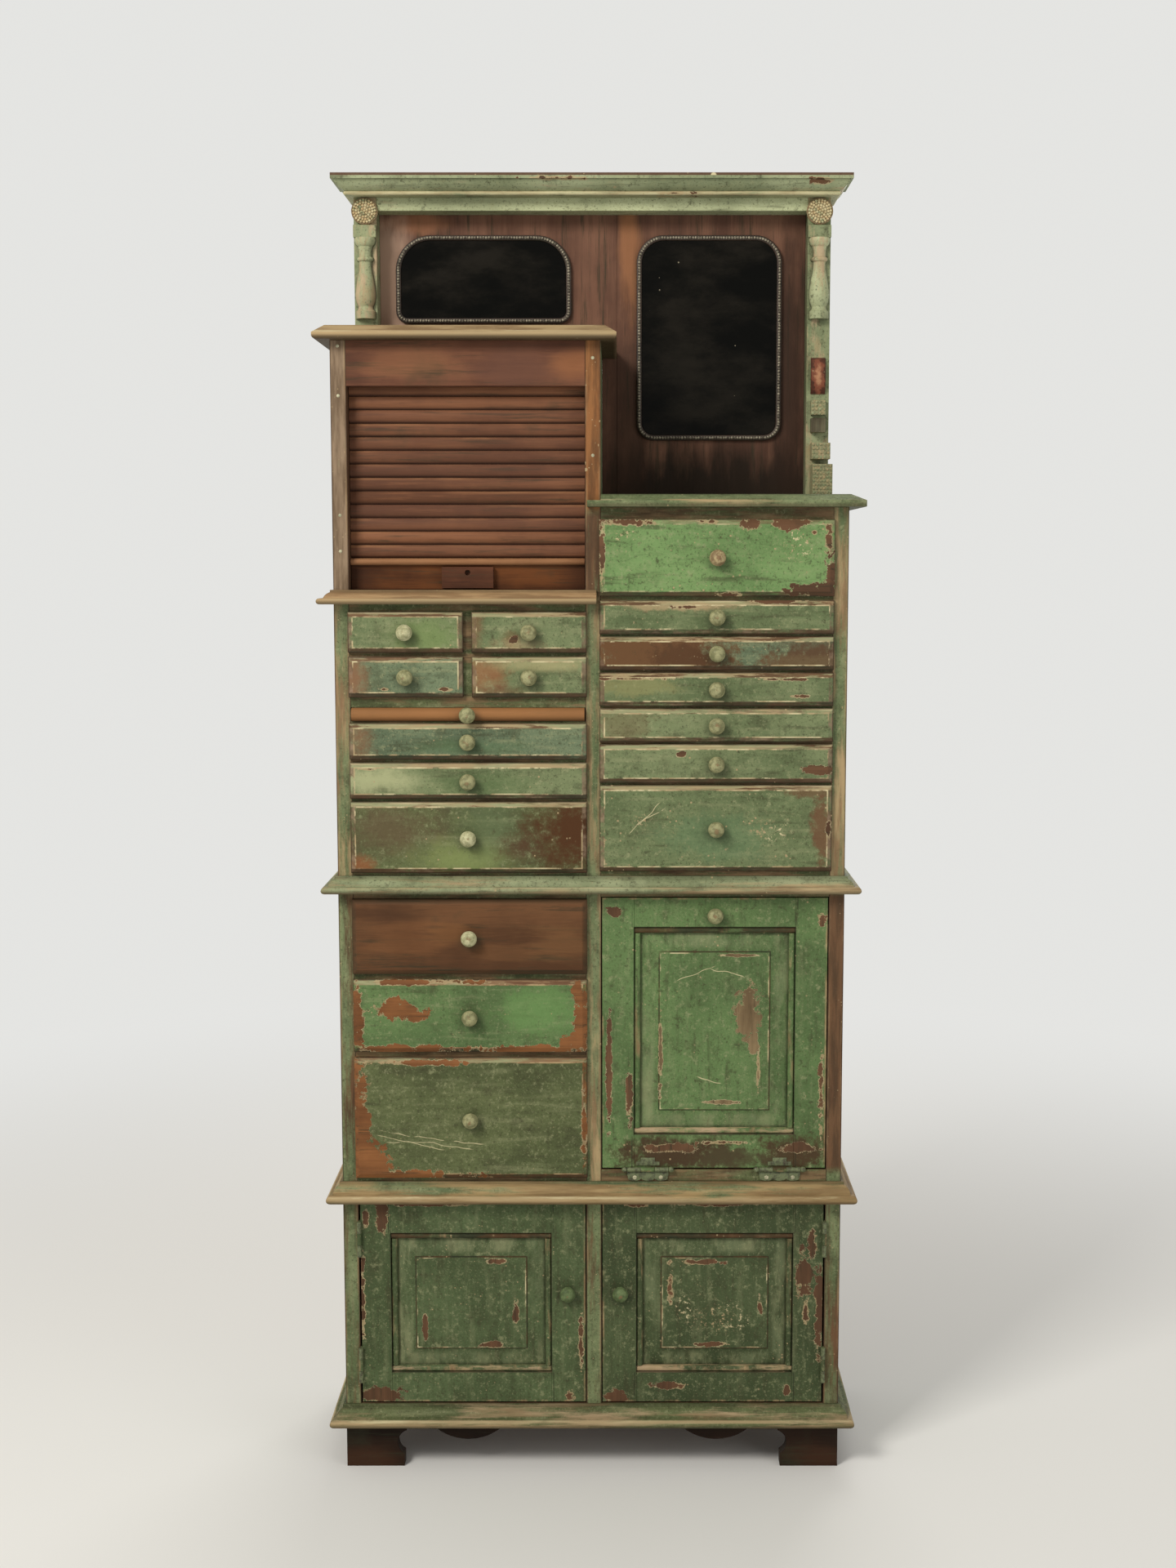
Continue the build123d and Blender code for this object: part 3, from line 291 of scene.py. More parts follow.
        # mottled brushed paint, pitted and rubbed, with ragged stains
        seed = look["seed"]
        light, dark = tones[look["paint"]]
        large = self.noise(7.0, seed, 3.0)
        cloud = self.noise(26.0, seed + 1, 6.0, 0.65)
        streak = self.noise(85.0, seed + 2, 5.0, stretch=grainRun(look.get("along", "x"), 0.12))
        mottle = self.noise(100.0, seed + 4, 6.0, 0.78)
        fine = self.noise(330.0, seed + 3, 3.0)
        colour = self.wash(
            light, (large, 0.38, 0.62, 1.0, dark), (cloud, 0.5, 0.26, look.get("dirt", 0.6), shadeTone),
            (streak, 0.5, 0.74, look.get("brushed", 0.4), rubbedTone), (streak, 0.46, 0.28, 0.6, shadeTone),
            (mottle, 0.53, 0.68, 0.55, rubbedTone), (mottle, 0.46, 0.32, 0.7, shadeTone),
            (fine, 0.56, 0.70, 0.6, shadeTone), (fine, 0.42, 0.28, 0.4, rubbedTone))
        ragged = (cloud + mottle - 1.0) * 2.2
        soft = look.get("soft", 0.4)
        for spot, reach, stain, strength in look.get("stains", ()):
            away = self.oval(spot, reach) + ragged
            stained = self.blend(mottle.ease(0.42, 0.3, 0.5), stain, shadeTone)
            colour = self.blend(away.ease(1.0 + soft, 1.0 - soft, strength), colour, stained)
        rough = self.mix(fine.ease(0.3, 0.7), 0.48, 0.66)
        self.layers = (colour, rough, streak * 0.35 + fine * 0.3 + mottle * 0.3)

    def rub(self, mask, pair, seed, low=0.4, high=0.6, strength=0.9, stretch=(0.3, 1, 1), scale=60.0):
        # rubs a zone patchily towards a pair of tones
        patchy = self.noise(scale, seed, 8.0, 0.7, stretch)
        mixed = self.noise(scale * 1.6, seed + 1, stretch=stretch)
        self.tint(mask * patchy.ease(low, high, strength), self.blend(mixed.ease(0.38, 0.62), *pair))

    def chip(self, look, weight=0.0):
        # hard-edged chips, at given places and where wear adds up: bare wood with a thin broken pale rim
        seed = look["seed"] + 17
        jagged = self.noise(75.0, seed, 8.0, 0.7)
        cloud = self.noise(24.0, seed + 1)
        worn = jagged * 0.6 + cloud * 0.4 + look.get("wear", -0.05) + weight
        depth = (0.655 - worn) * (55 * mm)
        ragged = jagged * 3.4 + cloud * 2.2
        for spot, reach in look.get("chips", ()):
            depth = depth.least((self.oval(spot, reach) + ragged - 3.8) * min(reach))
        rim = depth.ease(0.3 * mm, -0.1 * mm)
        bare = (depth + cloud.ease(0.38, 0.66, 1.9 * mm)).ease(0.1 * mm, -0.3 * mm)
        share = look.get("specks", 0.05)
        dots = self.specks(95.0, look.get("speckSize", 0.3), share * 0.35, seed)
        dots = dots.most(self.specks(240.0, 0.46, share, seed + 3)) * cloud.ease(0.47, 0.6, 0.9)
        for spot, reach in look.get("flakes", ()):
            away = self.oval(spot, reach) + cloud * 2.0
            flaked = self.noise(190.0, seed + 5, rough=0.7)
            dots = dots.most(away.ease(2.1, 1.6) * flaked.ease(0.56, 0.6, 0.9))
        self.tint((rim * 0.8).most(dots), self.blend(cloud.ease(0.36, 0.58), *cream))
        self.layers = (*self.layers[:2], self.layers[2] - rim * 0.5)
        colour, rough, height = self.grain(tones[look.get("wood", "umber")], look.get("along", "x"), seed + 7)
        self.lay(bare, (colour, rough, height - 1.0))

    def scratch(self, ends, seed):
        # one thin pale line from a place to another, wandering a little
        (x0, z0), (x1, z1) = ends
        length = math.hypot(x1 - x0, z1 - z0)
        aimX, aimZ = (x1 - x0) / length, (z1 - z0) / length
        x, z = self.x - x0, self.z - z0
        wander = (self.noise(9.0, seed, 3.0) - 0.5) * (34 * mm)
        line = abs(z * aimX - x * aimZ + wander).ease(0.7 * mm, 0.3 * mm)
        broken = self.noise(45.0, seed + 1, 3.0).ease(0.38, 0.5, 0.75)
        self.tint(line * broken * (x * aimX + z * aimZ).band(0.0, length, 4 * mm), cream[0])

    def knob(self, spot, base, seed, kind):
        # the knob at a spot takes over ahead of a plane, rubbed on its dome, with grime and a painted shadow
        # on the paint round it
        light, dark = knobTones[kind]
        right, down = knobLook["haloShift"]
        # grime with a painted shadow of the knob, shifted right and down
        halo = self.oval((spot[0] + right, spot[1] - down), knobLook["halo"])
        self.tint(halo.ease(1.1, 0.3, 0.55), grimeAndShadeTone)
        near = self.oval(spot, (knobLook["clear"], knobLook["clear"])).ease(1.0, 0.98)
        away = self.oval(spot, (knobLook["radius"], knobLook["radius"]))
        rubbed = self.noise(120.0, seed)
        fine = self.noise(600.0, seed + 1, 2.0)
        colour = self.wash(
            light, (rubbed, 0.38, 0.62, 1.0, dark), (rubbed - away * 0.5, 0.36, 0.5, 0.6, tan[1]),
            (away, 0.75, 1.0, 0.4, dark), (fine, 0.56, 0.72, 0.4, shadeTone))
        self.lay(near * self.y.ease(base, base - 0.05 * mm), (colour, 0.5, rubbed + fine * 0.3))


knobLook = {
    "radius": 11.5 * mm,
    "clear": 12.2 * mm,  # the finish beyond is the front's own
    "halo": (22 * mm, 17 * mm),
    "haloShift": (2 * mm, 6 * mm),  # to the right and down, where the painted shadow falls
}
knobTones = {
    "pale": ((192, 189, 150), (150, 149, 112)),
    "worn": ((178, 160, 120), (124, 104, 76)),
    "olive": ((158, 156, 116), (118, 118, 84)),
    "green": ((104, 120, 80), (76, 90, 58)),
}


def dress(name, finish):
    nodes[name].data.materials.clear()
    nodes[name].data.materials.append(finish)


def frontRect(name):
    low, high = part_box(name)
    return (low.x, high.x, low.z, high.z)


def spotIn(rect, x, z):  # a place given as shares of a rectangle
    x0, x1, z0, z1 = rect
    return (x0 + (x1 - x0) * x, z0 + (z1 - z0) * z)


def placed(rect, look, **more):
    # a look with its marks set out in a rectangle, from shares of it and half sizes in millimetres
    def spread(marks):
        return [(spotIn(rect, x, z), (w * mm, h * mm), *rest) for x, z, w, h, *rest in marks]

    return dict(look, **{kind: spread(look.get(kind, ())) for kind in ("stains", "chips", "flakes")}, **more)


# drawers: painted fronts with a rubbed bevel, raw boxes behind, turned knobs

drawerLook = {"bevel": 7 * mm, "thickness": 10.2 * mm}


def rubBorder(f, rect, look):
    # the sloped border of a front: pale along the top, worn and partly painted light, tan at the sides, dark
    # below with painted shade and dirt, with a bright ridge
    bevel = drawerLook["bevel"]
    seed = look["seed"] + 29
    share = look.get("border", 0.9)
    crest = tones[look.get("crest", "cream")]
    fromTop = rect[3] - f.z
    rim = f.rim(rect)
    onBevel = rim.ease(-bevel - 0.2 * mm, -bevel + 0.2 * mm)
    top = fromTop.ease(bevel * 1.1, bevel * 0.9)
    bottom = (f.z - rect[2]).ease(bevel * 1.05, bevel * 0.8)
    ridge = abs(rim + bevel).ease(1.3 * mm, 0.7 * mm)
    flat = (0.12, 1, 1)
    f.rub(onBevel, tones[look.get("wood", "driftwood")], seed, 0.42, 0.58, share * 0.9, (1, 1, 1), 45.0)
    # painted shade and dirt on the lower bevel
    f.rub(onBevel * bottom, (grimeAndShadeTone, umber[1]), seed + 2, 0.3, 0.5, 0.85, flat)
    # the top bevel rubbed pale: wear, and painted light
    f.rub(top, (crest[1], rubbedTone), seed + 4, 0.36, 0.52, share, flat)
    f.rub(top * onBevel, (umber[0], red[1]), seed + 5, 0.53, 0.58, share, flat, 50.0)
    f.rub(ridge, crest, seed + 6, 0.46, 0.54, share, (0.4, 1, 0.4))
    # the front's top edge pale: wear, and painted light
    f.rub(fromTop.ease(4 * mm, 1.0 * mm), crest, seed + 8, 0.52, 0.6, share, flat, 40.0)
    f.tint(rim.ease(-1.8 * mm, -0.8 * mm, 0.7), (52, 36, 26))


def finishDrawer(name, look):
    f = Finish(name + "Finish")
    rect = frontRect(name)
    seed = look["seed"]
    look = placed(rect, look)
    if "bare" in look:
        f.layers = f.grain(tones[look["bare"]], "x", seed, 16.0)
        ragged = (f.noise(36.0, seed + 9, 6.0, stretch=grainRun("x", 0.14)) - 0.5) * 4.0
        f.stain(look["stains"], ragged, 1.3, 0.5)
        f.tint(f.rim(rect).ease(-9 * mm, 0.0, 0.5), grimeAndShadeTone)
    else:
        f.coat(look)
        rubBorder(f, rect, look)
        f.chip(look)
    for number, ends in enumerate(look.get("scratches", ())):
        f.scratch([spotIn(rect, *end) for end in ends], seed + 37 + number)
    raw, *rest = f.grain(tones["pine"], "y", seed + 11)
    lower = f.z.ease(rect[3] - 4 * mm, rect[2] + 8 * mm, 0.7)
    raw = f.blend(lower, raw, umber[0])  # painted shade, darker towards its floor
    f.lay(f.y.ease(caseFront - 0.1 * mm, caseFront), (raw, *rest))
    f.knob(spotIn(rect, 0.5, 0.5), caseFront - drawerLook["thickness"], seed + 13, look.get("knob", "olive"))
    dress(name, f.close())


# marks: shares across and up the front, half width and half height in millimetres, then tone and strength
frontLooks = {
    "right_top_drawer": {
        "paint": "spring", "dirt": 0.25, "brushed": 0.2, "specks": 0.09, "knob": "worn", "border": 0.5,
        "flakes": [(0.84, 0.66, 22, 26), (0.1, 0.8, 20, 10)],
        "chips": [(0.12, 0.955, 38, 5), (0.47, 0.965, 14, 4), (0.64, 0.93, 12, 10), (0.80, 0.95, 26, 9),
                  (0.91, 0.83, 5, 4), (0.975, 0.75, 8, 30), (0.985, 0.3, 7, 22), (0.93, 0.07, 36, 10),
                  (0.55, 0.02, 16, 4), (0.01, 0.5, 4, 50)]},
    "right_tray_1": {
        "paint": "fern", "stains": [(0.35, 0.85, 80, 7, cream[1], 0.75)],
        "chips": [(0.75, 0.98, 40, 3), (0.4, 0.80, 30, 3)]},
    "right_tray_2": {
        "paint": "teal", "specks": 0.14, "speckSize": 0.14,
        "stains": [(0.18, 0.5, 125, 60, (100, 71, 46), 1.0), (0.36, 0.3, 40, 22, red[1], 0.8),
                   (0.88, 0.25, 70, 20, (96, 70, 47), 0.85), (0.9, 0.7, 60, 12, umber[1], 0.6)]},
    "right_tray_3": {
        "paint": "sage", "specks": 0.06, "stains": [(0.15, 0.6, 60, 14, (140, 138, 92), 0.6)],
        "chips": [(0.13, 0.82, 50, 2), (0.78, 0.80, 34, 2), (0.86, 0.3, 16, 3)]},
    "right_tray_4": {
        "paint": "sage", "specks": 0.04, "stains": [(0.1, 0.5, 40, 20, umber[0], 0.35)]},
    "right_tray_5": {
        "paint": "sage", "specks": 0.06, "chips": [(0.93, 0.35, 20, 6), (0.35, 0.75, 6, 4)]},
    "right_deep_drawer": {
        "paint": "fern", "specks": 0.14, "flakes": [(0.19, 0.6, 17, 10), (0.72, 0.5, 36, 16)],
        "scratches": [((0.1, 0.42), (0.28, 0.72)), ((0.13, 0.45), (0.26, 0.78))],
        "stains": [(0.5, 0.4, 70, 30, (96, 122, 86), 0.5), (0.96, 0.45, 14, 40, umber[0], 0.85),
                   (0.9, 0.93, 40, 8, umber[0], 0.7)],
        "chips": [(0.985, 0.5, 4, 12)]},
    "small_drawer_high_left": {
        "paint": "sage", "soft": 0.8, "knob": "pale", "stains": [(0.7, 0.4, 40, 22, (112, 132, 80), 0.7)]},
    "small_drawer_high_right": {
        "paint": "sage", "soft": 0.8,
        "stains": [(0.03, 0.6, 9, 40, (118, 84, 60), 0.6), (0.34, 0.3, 12, 12, red[0], 0.7),
                   (0.4, 0.2, 30, 8, cream[1], 0.5)],
        "chips": [(0.36, 0.32, 7, 6)]},
    "small_drawer_low_left": {
        "paint": "teal", "soft": 0.8, "stains": [(0.04, 0.5, 14, 40, (132, 92, 66), 0.8)],
        "chips": [(0.3, 0.2, 7, 3), (0.85, 0.2, 10, 3)]},
    "small_drawer_low_right": {
        "paint": "sage", "soft": 0.8,
        "stains": [(0.12, 0.6, 26, 22, (142, 98, 66), 0.75), (0.6, 0.8, 50, 7, (166, 160, 116), 0.7),
                   (0.25, 0.15, 30, 9, umber[0], 0.6)]},
    "left_tray_1": {
        "paint": "teal", "soft": 0.8, "specks": 0.04,
        "stains": [(0.05, 0.6, 16, 24, (128, 88, 62), 0.7), (0.5, 0.35, 60, 10, (92, 118, 82), 0.5)]},
    "left_tray_2": {
        "paint": "sage", "soft": 0.7, "specks": 0.04,
        "stains": [(0.10, 0.55, 60, 18, (172, 174, 132), 0.75), (0.55, 0.4, 60, 14, (92, 112, 72), 0.5)],
        "chips": [(0.08, 0.83, 14, 2)]},
    "left_deep_drawer": {
        "paint": "moss", "knob": "pale", "dirt": 0.8, "soft": 0.8, "specks": 0.04,
        "stains": [(0.16, 0.62, 60, 34, (92, 78, 56), 0.8), (0.48, 0.22, 60, 20, (126, 138, 84), 0.75),
                   (0.62, 0.65, 40, 34, (96, 110, 76), 0.6), (0.93, 0.55, 62, 52, (76, 48, 27), 1.0),
                   (0.72, 0.35, 26, 18, (80, 54, 38), 0.8), (0.05, 0.1, 16, 12, (132, 82, 50), 0.8)]},
    "lower_drawer_2": {
        "paint": "grass", "wood": "orangeBrown", "crest": "tan", "border": 0.95,
        "stains": [(0.8, 0.6, 60, 30, (104, 140, 82), 0.6)],
        "chips": [(0.17, 0.58, 40, 12), (0.17, 0.72, 10, 8), (0.27, 0.50, 12, 10), (0.975, 0.45, 12, 44),
                  (0.015, 0.5, 9, 50), (0.75, 0.03, 80, 6), (0.2, 0.04, 60, 7), (0.3, 0.97, 90, 4),
                  (0.95, 0.1, 20, 12)]},
    "lower_drawer_3": {
        "paint": "moss", "wood": "orangeBrown", "crest": "tan", "brushed": 0.3,
        "chips": [(0.02, 0.45, 15, 90), (0.05, 0.12, 40, 30), (0.22, 0.03, 80, 8), (0.985, 0.35, 5, 50),
                  (0.25, 0.96, 70, 4)],
        "scratches": [((0.08, 0.42), (0.55, 0.30)), ((0.1, 0.36), (0.5, 0.24)),
                      ((0.14, 0.30), (0.38, 0.24))]},
    "lower_drawer_1": {
        "bare": "stained", "knob": "pale",
        "stains": [(0.22, 0.45, 46, 24, (124, 82, 50), 0.35), (0.42, 0.55, 30, 12, (130, 88, 52), 0.4),
                   (0.9, 0.5, 50, 22, (124, 88, 56), 0.45), (0.62, 0.3, 44, 10, (118, 82, 52), 0.35),
                   (0.08, 0.8, 60, 10, (64, 42, 28), 0.5)]},
}
for number, (name, look) in enumerate(frontLooks.items()):
    finishDrawer(name, dict(look, seed=10 + number * 3.7))
print("drawers painted")


# writing slide: bare wood with a painted knob

slideLook = {"knobBase": 9.2 * mm}
f = Finish("writingSlideFinish")
slideRect = frontRect("writing_slide")
slideMiddle = spotIn(slideRect, 0.5, 0.5)
f.layers = f.grain(tones["orangeBrown"], "x", 91.0)
f.tint(0.6, (156, 112, 70))
# painted shade on the lower half of the rounded front
f.tint(f.z.ease(slideMiddle[1], slideRect[2], 0.5), red[1])
f.lay(f.y.ease(caseFront - 0.1 * mm, caseFront), f.grain(tones["pine"], "y", 93.0))
f.knob(slideMiddle, caseFront - slideLook["knobBase"], 95.0, "olive")
dress("writing_slide", f.close())


# uprights: painted outside, rubbed along the edges that show in front

uprightLooks = {  # stretches: lower and upper end, tones and strength
    "left_side": {"paint": "sage", "wood": "driftwood", "stretches": [
        (1.28, 1.65, "driftwood", 0.9), (0.88, 1.28, "tan", 0.38), (0.43, 0.86, "umber", 0.25),
        (0.09, 0.41, "umber", 0.15)]},
    "right_side": {"paint": "sage", "wood": "redBrown", "stretches": [
        (0.88, 1.41, "tan", 0.35), (0.45, 0.86, "umber", 1.0), (0.09, 0.41, "umber", 0.32)]},
    "centre_partition": {"paint": "sage", "wood": "orangeBrown", "stretches": [
        (1.40, 1.65, "orangeBrown", 1.0), (1.28, 1.40, "umber", 0.6), (0.43, 1.28, "tan", 0.25),
        (0.09, 0.41, "umber", 0.15)]},
}
for number, (name, look) in enumerate(uprightLooks.items()):
    f = Finish(name + "Finish")
    look.update(seed=101.0 + number * 5, along="z", specks=0.2, wear=-0.045)
    rect = frontRect(name)
    seed = look["seed"]
    fromFront = f.y - caseFront
    onFront = fromFront.ease(3 * mm, 1 * mm)
    tall = (1, 1, 0.12)
    f.coat(look)
    for low, high, kind, strength in look["stretches"]:
        here = f.z.band(low, high, 8 * mm) * onFront
        cover = 0.62 - 0.34 * strength
        f.rub(here, tones[kind], seed + low * 9, cover - 0.1, cover + 0.1, 0.95, tall, 50.0)
    rim = f.rim((rect[0], rect[1], -9, 9))
    edge = rim.ease(-4 * mm, -0.5 * mm) * fromFront.ease(6 * mm, 0.0)
    f.rub(edge, tan, seed + 31, 0.46, 0.62, 0.8, tall)
    f.tint(rim.ease(-2.2 * mm, -0.6 * mm, 0.7) * onFront, (56, 38, 28))
    f.chip(look, edge * 0.05)
    outer = abs(f.x).ease(halfWidth - 1.2 * mm, halfWidth - 0.8 * mm)
    if name == "centre_partition":  # its upper right face stands beside the gallery
        outer = f.x.ease(rect[1] - 1.2 * mm, rect[1] - 0.8 * mm) * f.z.ease(counterTop, counterTop + 1 * mm)
    f.lay(1 - outer.most(onFront), f.grain(umber, "z", seed + 11))
    dress(name, f.close())


# rails and dividing boards: painted and rubbed on their front edges, raw behind

railLook = {"seed": 121.0, "paint": "moss", "specks": 0.03, "dirt": 0.7}
f = Finish("railFinish")
f.coat(railLook)
f.rub(1.0, (tan[1], umber[1]), 125.0, 0.42, 0.58, 0.8, (0.15, 1, 1), 45.0)
f.chip(railLook)
f.lay(f.y.ease(caseFront + 1.0 * mm, caseFront + 1.4 * mm), f.grain(umber, "x", 129.0))
railPaint = f.close()
for name in ("drawer_dividers", "front_rails", "deck_boards", "roll_deck"):
    dress(name, railPaint)
print("case boards finished")


# bare and stained woods


def woodFinish(name, pair, along, seed, coarse=24.0, stains=(), dots=0.0):
    f = Finish(name)
    f.layers = f.grain(pair, along, seed, coarse)
    ragged = (f.noise(30.0, seed + 9, 5.0, stretch=grainRun(along, 0.25)) - 0.5) * 1.8
    f.stain(stains, ragged, 1.3, 0.4)
    if dots:
        f.tint(f.specks(60.0, 0.2, dots, seed), cream[0])
    return f.close()


footStains = [((side * 0.335, 0.012), (0.05, 0.02), (72, 46, 30), 0.5) for side in (-1, 1)]
dress("case_back", woodFinish("backBoards", tones["backBoard"], "z", 131.0))
dress("bracket_feet", woodFinish("footWood", tones["shadedDarkWood"], "x", 161.0, dots=0.03, stains=footStains))
dress("apron_lobes", woodFinish("apronWood", tones["shadedDarkWood"], "x", 163.0))


# mouldings: green, streaked with tan, the noses rubbed with a painted highlight on their crowns, painted
# shade beneath, the roots darkened

mouldingLooks = {  # rubbed, nose: how much paint is left
    "base_moulding": {"paint": "moss", "rubbed": 0.45, "nose": 0.46,
                      "tan": ((168, 146, 114), (128, 108, 78))},
    "lower_moulding": {"paint": "sage", "rubbed": 0.36, "nose": 0.42,
                       "tan": ((170, 144, 102), (134, 108, 74))},
    "waist_moulding": {"paint": "pale", "rubbed": 0.47, "nose": 0.48,
                       "tan": ((178, 156, 118), (136, 110, 80))},
    "counter_top": {"paint": "sage", "rubbed": 0.56, "nose": 0.5,
                    "tan": ((160, 146, 112), (120, 98, 70))},
    "roll_sill": {"paint": "sage", "rubbed": 0.22, "nose": 0.20,
                  "tan": ((170, 138, 100), (132, 102, 72))},
    "roll_top": {"paint": "moss", "rubbed": 0.22, "nose": 0.30, "under": 0.8,
                 "tan": ((168, 144, 106), (122, 96, 68))},
}
mouldingProfile = {  # where each zone starts and is full
    "nose": (17 * mm, 20 * mm),  # ahead of the case
    "root": (9 * mm, 2 * mm),
    "underside": (8 * mm, 2 * mm),  # above the lowest edge
    "crown": 11 * mm,  # its middle, above the same edge
}
for number, (name, look) in enumerate(mouldingLooks.items()):
    f = Finish(name + "Finish")
    look.update(seed=141.0 + number * 4, specks=0.03, wear=-0.05)
    low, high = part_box(name)
    seed = look["seed"]
    reach = (caseFront - f.y).most(abs(f.x) - halfWidth)
    nose = reach.ease(*mouldingProfile["nose"])
    crown = abs(f.z - (low.z + mouldingProfile["crown"])).ease(3 * mm, 1 * mm)
    root = reach.ease(*mouldingProfile["root"]) * f.z.ease(high.z - 8 * mm, high.z - 1 * mm, 0.5)
    underside = (low.z + rise for rise in mouldingProfile["underside"])
    long = (0.08, 0.08, 1)
    f.coat(look)
    f.rub(1.0, look["tan"], seed + 31, look["rubbed"], look["rubbed"] + 0.16, 0.9, long, 55.0)
    f.rub(nose, (cream[1], tan[0]), seed + 33, look["nose"], look["nose"] + 0.16, 0.9, long, 40.0)
    # painted highlight along the nose's crown, rubbed
    f.rub(nose * crown, cream, seed + 35, 0.46, 0.58, 0.8, long, 40.0)
    # painted shade under the nose
    f.tint(f.z.ease(*underside, look.get("under", 0.55)), (58, 46, 32))
    # darker where the moulding's top meets the case
    f.tint(root, grimeAndShadeTone)
    f.chip(look, nose * 0.06)
    dress(name, f.close())
print("mouldings finished")


# doors and fall front: framed, with beads and raised panels

doorLook = {
    "bead": 9 * mm,
    "bevel": 27 * mm,
    "knobInset": 26 * mm,
    "knobRise": 168 * mm,
    "fallKnobDrop": 24.5 * mm,
}
doorLooks = {
    "left_door": {
        "paint": "deep", "brushed": 0.2, "specks": 0.08, "knob": "green",
        "frame": {"chips": [
            (0.11, 0.93, 9, 24), (0.07, 0.035, 36, 10), (0.04, 0.92, 5, 12), (0.93, 0.03, 12, 8),
            (0.35, 0.99, 60, 3), (0.02, 0.5, 4, 60), (0.98, 0.3, 4, 40)]},
        "panel": {"chips": [
            (0.66, 0.80, 16, 4), (0.21, 0.35, 4, 18), (0.78, 0.42, 5, 20), (0.62, 0.195, 18, 4)]}},
    "right_door": {
        # its darker green is painted shade: the right door gets less light
        "paint": "darkest", "brushed": 0.2, "specks": 0.16, "knob": "green",
        "frame": {"chips": [
            (0.90, 0.62, 12, 34), (0.94, 0.8, 7, 26), (0.97, 0.45, 7, 66), (0.91, 0.45, 5, 20),
            (0.5, 0.99, 60, 3), (0.15, 0.99, 20, 4), (0.06, 0.02, 14, 10), (0.83, 0.06, 5, 9),
            (0.3, 0.08, 26, 5)]},
        "panel": {"flakes": [(0.52, 0.38, 44, 24), (0.3, 0.45, 12, 20)], "chips": [
            (0.38, 0.79, 32, 4), (0.215, 0.60, 5, 24), (0.79, 0.48, 4, 12), (0.48, 0.20, 20, 3)]}},
    "fall_front": {
        "paint": "grass", "brushed": 0.2, "specks": 0.07, "knob": "olive",
        "frame": {"stains": [
            (0.36, 0.065, 84, 22, (70, 55, 38), 1.0), (0.86, 0.07, 56, 22, (72, 54, 37), 0.95),
            (0.6, 0.05, 60, 14, (74, 67, 46), 0.8)], "chips": [
            (0.05, 0.95, 10, 6), (0.12, 0.27, 5, 36), (0.975, 0.92, 8, 10), (0.98, 0.3, 5, 60),
            (0.30, 0.085, 40, 7), (0.88, 0.085, 26, 7), (0.55, 0.105, 34, 3), (0.03, 0.35, 4, 60)]},
        "panel": {"wood": "rawPatch", "chips": [
            (0.70, 0.59, 19, 33), (0.72, 0.60, 12, 40), (0.745, 0.44, 7, 18), (0.775, 0.30, 3, 34),
            (0.55, 0.155, 30, 3), (0.165, 0.42, 3, 60), (0.66, 0.865, 26, 2)]},
        "scratches": [((0.2, 0.72), (0.5, 0.80)), ((0.48, 0.80), (0.82, 0.74)), ((0.4, 0.28), (0.58, 0.26))]},
}
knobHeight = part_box("left_door_frame")[0].z + doorLook["knobRise"]
fallMiddle = spotIn(frontRect("fall_front_panel"), 0.5, 0.5)[0]
knobSpots = {
    "left_door": (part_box("left_door_frame")[1].x - doorLook["knobInset"], knobHeight),
    "right_door": (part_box("right_door_frame")[0].x + doorLook["knobInset"], knobHeight),
    "fall_front": (fallMiddle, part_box("fall_front_frame")[1].z - doorLook["fallKnobDrop"]),
}
